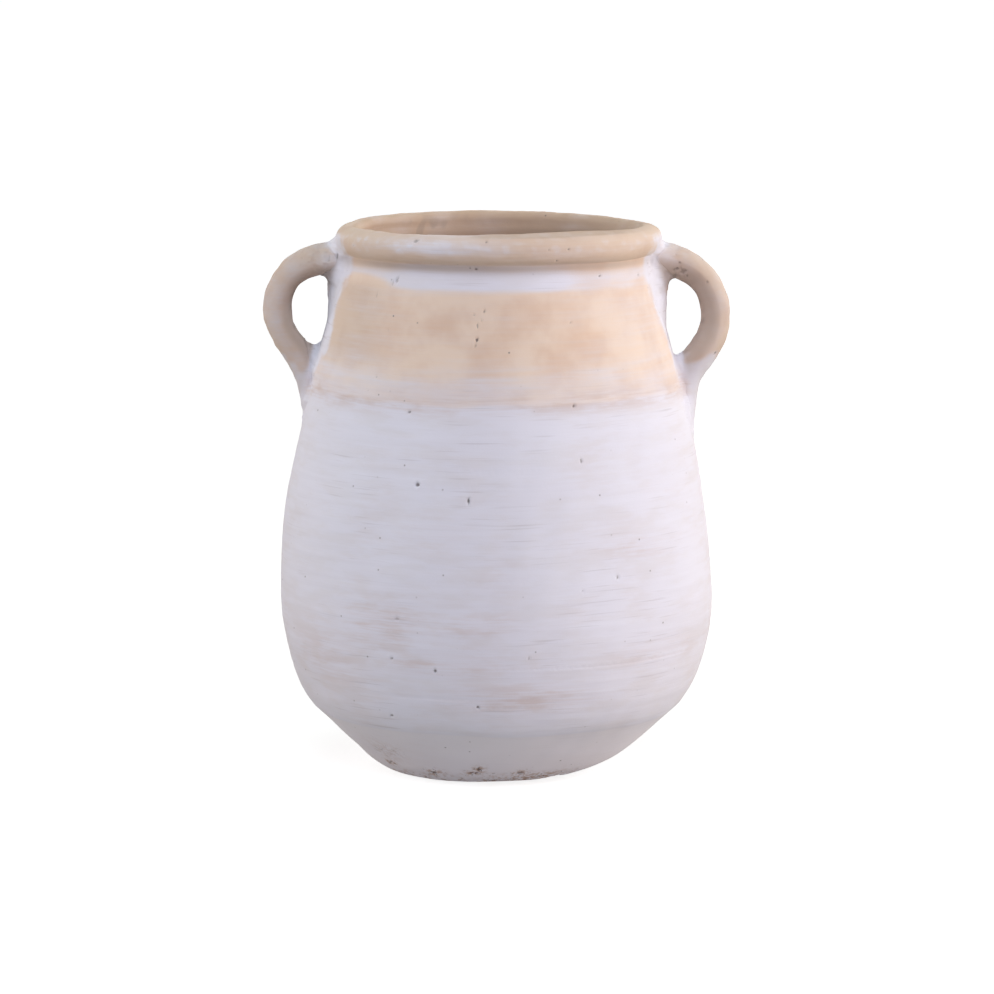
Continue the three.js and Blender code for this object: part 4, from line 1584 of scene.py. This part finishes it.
@dataclass
class Vase:
    """All the pieces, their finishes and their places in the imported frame."""

    section: Section = field(default_factory=Section)

    def wall_pieces(self) -> list[WallPiece]:
        """The pieces of the wall, from the floor up. Rows crowd at the turn and at large marks."""
        floor = self.section.floor
        turn = self.section.turn_height
        joint = self.section.belly_joint_height
        neck = self.section.neck_height
        step = Joint.STEPPED
        at_turn = ((35.0, 2.0, 1.5),)
        on_lower = ((37.0, 2.5, 1.5), (73.0, 2.0, 0.6), (53.0, 1.5, 0.6))
        on_upper = ((256.0, 9.0, 0.5), (173.0, 2.5, 0.6), (165.5, 2.5, 0.6), (280.0, 3.0, 0.4))
        return [
            FloorSlab("floor_slab", "base_disc", "trimmed_clay"),
            WallRing("trimmed_foot", "foot_wall", "trimmed_clay", floor, turn, 46, 10, Joint.FLAT, at_turn),
            WallRing("thrown_belly", "belly_wall", "slip_wash", turn, joint, 122, 16, step, on_lower),
            WallRing("thrown_shoulder", "shoulder_wall", "bare_clay", joint, neck, 132, 16, step, on_upper),
            RolledRim("rolled_rim", "rim_roll", "bare_clay"),
        ]

    def handles(self) -> list[PulledHandle]:
        """The two straps. Each was pulled and bent by hand, so they differ a little."""
        right = LoopPath(80.4, 285.9, -0.05, 37.8, 121.7, 255.5, 5.0, 22.3, 103.4, 212.8, 0.11, 17.6)
        left = LoopPath(80.4, 285.7, -0.11, 38.6, 122.3, 259.6, 5.0, 22.1, 103.3, 212.1, 0.22, 29.7)
        return [
            PulledHandle(Side.RIGHT, right, 18.4, 16.0, 17.4, edge_shift=1.9, nicks=(
                # The dark of the nicks round the root is partly painted shade in the crevice by the neck
                Nick(99.8, -11.0, 281.0, 1.3, 0.7, 0.7),
                Nick(102.0, -10.0, 282.5, 1.2, 0.6, 0.6),
                Nick(103.0, -10.0, 279.0, 2.2, 0.7, 0.55),
                Nick(99.0, -9.0, 276.0, 2.6, 0.5, 0.5),
                Nick(105.5, -9.0, 277.0, 1.0, 0.5, 0.6),
                Nick(116.2, -11.5, 274.0, 0.9, 0.5, 0.45),
                Nick(100.6, -8.0, 233.5, 1.9, -0.9, 0.7),
                Nick(105.5, -6.0, 228.0, 1.8, 0.1, 0.35, 2.5),
                Nick(121.5, -11.0, 234.0, 1.2, 0.7, 1.0),
                Nick(99.0, -8.0, 293.0, 3.0, 0.5),
            )),
            PulledHandle(Side.LEFT, left, 18.4, 15.4, 14.9, edge_shift=-1.2, ridge=1.15, nicks=(
                Nick(88.4, 15.0, 288.8, 0.7, 0.6, 0.8, 4.5),
                Nick(92.6, 14.0, 288.0, 0.8, 0.4, 0.4, 7.0),
                Nick(103.4, 7.0, 238.0, 2.2, 0.3, 0.6),
                Nick(98.5, 12.0, 286.5, 5.5, 0.6),
                Nick(108.0, 9.0, 291.0, 1.2, 0.4, 0.4, 2.5),
                Nick(113.0, 10.0, 220.0, 1.6, 0.7, 0.8),
            )),
        ]

    def lutings(self, handle: PulledHandle) -> list[Luting]:
        """The skirts at the two ends of a strap. The left tail is filled further up its hollow."""
        if handle.side is Side.RIGHT:
            neck = (Reach(2.5, 4.5, 15.0), Reach(0.3, 1.5, 7.5), Reach(0.5, 11.0, 30.0))
            tail = (Reach(7.0, 6.5, 6.0), Reach(1.0, 1.5, 1.5), Reach(4.5, 8.0, 5.0))
        else:
            neck = (Reach(3.2, 5.0, 13.5), Reach(1.2, 1.5, 5.0), Reach(4.0, 11.0, 27.5))
            tail = (Reach(7.0, 6.5, 14.0), Reach(1.0, 1.5, 7.5), Reach(4.5, 8.0, 13.0))
        return [
            Luting(handle, Root.NECK, *neck, edge=Reach(0.2, 0.4, 0.3)),
            Luting(handle, Root.TAIL, *tail, edge=Reach(0.1, 0.3, 0.3)),
        ]

    def build(self) -> None:
        """Builds and dresses every piece, from the floor up."""
        finishes = {slot: finish.make() for slot, finish in FINISHES.items()}

        def adopt(piece: bpy.types.Object, node: str, slot: str) -> None:
            """Gives a piece the finish of its slot and its body, and hides the solid that it stands for."""
            piece.data.materials.append(finishes[slot])
            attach(piece, "root")
            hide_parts(node)
            LOG.info("%s: %d faces, %s", piece.name, len(piece.data.polygons), finishes[slot].name)

        wall = Wall(self.section)
        parts = self.wall_pieces()
        lengths = np.sort(np.concatenate([stretch for part in parts for stretch in part.stretches(wall)]))
        skin = wall.skin(lengths[np.diff(lengths, prepend=-1) > 1e-6])
        for part in parts:
            adopt(part.build(wall, skin), part.node, part.slot)
        for handle in self.handles():
            adopt(handle.build(wall), f"handle_{handle.word}", "strap_clay")
            for luting, place in zip(self.lutings(handle), ("upper", "lower")):
                adopt(luting.build(wall), f"luting_{place}_{handle.word}", "luting_clay")


# Stage


def stand(thing: bpy.types.Object, place: Triple, aim: Triple) -> None:
    """Puts a lamp or a camera in the scene, turned to what it is aimed at, in metres."""
    thing.location = place
    thing.rotation_euler = (Vector(aim) - Vector(place)).to_track_quat("-Z", "Y").to_euler()
    bpy.context.scene.collection.objects.link(thing)


@dataclass(frozen=True)
class Lamp:
    """A soft square lamp, in metres and watts, aimed at the vase's middle."""

    name: str
    place: Triple
    size: float
    power: float
    colour: str
    aim: Triple = (0.0, 0.0, 0.15)

    def make(self) -> None:
        """Builds the lamp and turns it to the vase."""
        light = bpy.data.lights.new(self.name, "AREA")
        light.size = self.size
        light.energy = self.power
        light.color = linear(self.colour)[:3]
        stand(bpy.data.objects.new(self.name, light), self.place, self.aim)


@dataclass(frozen=True)
class Studio:
    """A plain pale floor, soft studio light, and a camera at the photograph's angle, in metres."""

    floor_size: float = 60.0
    floor_colour: str = "#A8A8A8"
    # Strength of the floor's own light: on the vase, to the camera near and far, and between where
    floor_lit: float = 0.165
    floor_glow: Pair = (0.82, 1.0)
    glow_grows: Pair = (0.4, 3.0)
    white: str = "#FFFFFF"
    sky_strength: float = 0.04
    lamps: tuple[Lamp, ...] = (
        Lamp("right_softbox", (2.4, 0.0, 0.8), 1.2, 36.5, "#FFFFF8"),
        Lamp("key_softbox", (1.9, -1.3, 1.1), 1.2, 15.0, "#FFDED0"),
        Lamp("left_softbox", (-2.4, 0.3, 0.8), 1.4, 33.5, "#FFF4EA"),
        Lamp("front_softbox", (0.0, -2.2, 1.9), 1.4, 34.5, "#E8F0FF"),
        Lamp("overhead_softbox", (0.0, -0.4, 2.6), 1.8, 15.0, "#E4FFF8"),
    )
    camera_place: Triple = (0.0, -2.5807, 0.5147)
    camera_aim: Triple = (0.0, 0.0, 0.15176)
    # Lens and sensor in millimetres
    lens: float = 168.59
    sensor: float = 36.0
    far_clip: float = 200.0

    def sky(self) -> None:
        """An even, pale surround that the camera sees as white."""
        world = bpy.data.worlds.new("studio_surround")
        world.use_nodes = True
        tree = world.node_tree
        tree.nodes.clear()
        seen = add_node(tree, "LightPath", {})
        glow = add_node(tree, "Background", {"Color": linear(self.white), "Strength": self.sky_strength})
        white = add_node(tree, "Background", {"Color": linear(self.white), "Strength": 1.0})
        shares = {0: (seen, "Is Camera Ray"), 1: (glow, "Background"), 2: (white, "Background")}
        mixed = add_node(tree, "MixShader", shares)
        add_node(tree, "OutputWorld", {"Surface": (mixed, "Shader")})
        bpy.context.scene.world = world

    def paper(self) -> bpy.types.Material:
        """Matt white paper that looks lit through, more so far out, and so runs out to white."""
        paper = bpy.data.materials.new("matt_white_paper")
        paper.use_nodes = True
        tree = paper.node_tree
        place = add_node(tree, "TexCoord", {})
        away = add_node(tree, "VectorMath", {0: (place, "Object")}, operation="LENGTH")
        glow = add_node(tree, "MapRange", {
            "Value": (away, "Value"),
            "From Min": self.glow_grows[0],
            "From Max": self.glow_grows[1],
            "To Min": self.floor_glow[0],
            "To Max": self.floor_glow[1],
        })
        seen = (add_node(tree, "LightPath", {}), "Is Camera Ray")
        lit = {"Value": seen, "To Min": self.floor_lit, "To Max": (glow, "Result")}
        shown = add_node(tree, "MapRange", lit)
        inputs = tree.nodes["Principled BSDF"].inputs
        inputs["Base Color"].default_value = linear(self.floor_colour)
        inputs["Roughness"].default_value = 1.0
        inputs["Specular IOR Level"].default_value = 0.0
        inputs["Emission Color"].default_value = linear(self.white)
        tree.links.new(shown.outputs["Result"], inputs["Emission Strength"])
        return paper

    def floor(self) -> None:
        """A wide sheet of paper."""
        half = self.floor_size / 2
        corners = [(-half, -half, 0), (half, -half, 0), (half, half, 0), (-half, half, 0)]
        mesh = bpy.data.meshes.new("paper_floor")
        mesh.from_pydata(corners, [], [(0, 1, 2, 3)])
        mesh.materials.append(self.paper())
        sheet = bpy.data.objects.new("paper_floor", mesh)
        bpy.context.scene.collection.objects.link(sheet)

    def camera(self) -> None:
        """A long lens at the photograph's height, aimed at the vase's middle."""
        data = bpy.data.cameras.new("camera")
        data.lens = self.lens
        data.sensor_width = self.sensor
        data.sensor_fit = "HORIZONTAL"
        data.clip_end = self.far_clip
        camera = bpy.data.objects.new("camera", data)
        stand(camera, self.camera_place, self.camera_aim)
        bpy.context.scene.camera = camera

    def build(self) -> None:
        """Sets up the whole stage."""
        bpy.context.scene.view_settings.view_transform = "Standard"
        self.sky()
        self.floor()
        self.camera()
        for lamp in self.lamps:
            lamp.make()


def main() -> None:
    """Builds the stage and the vase."""
    logging.basicConfig(level=logging.INFO, format="%(name)s: %(message)s")
    Studio().build()
    Vase().build()


if __name__ == "__main__":
    main()
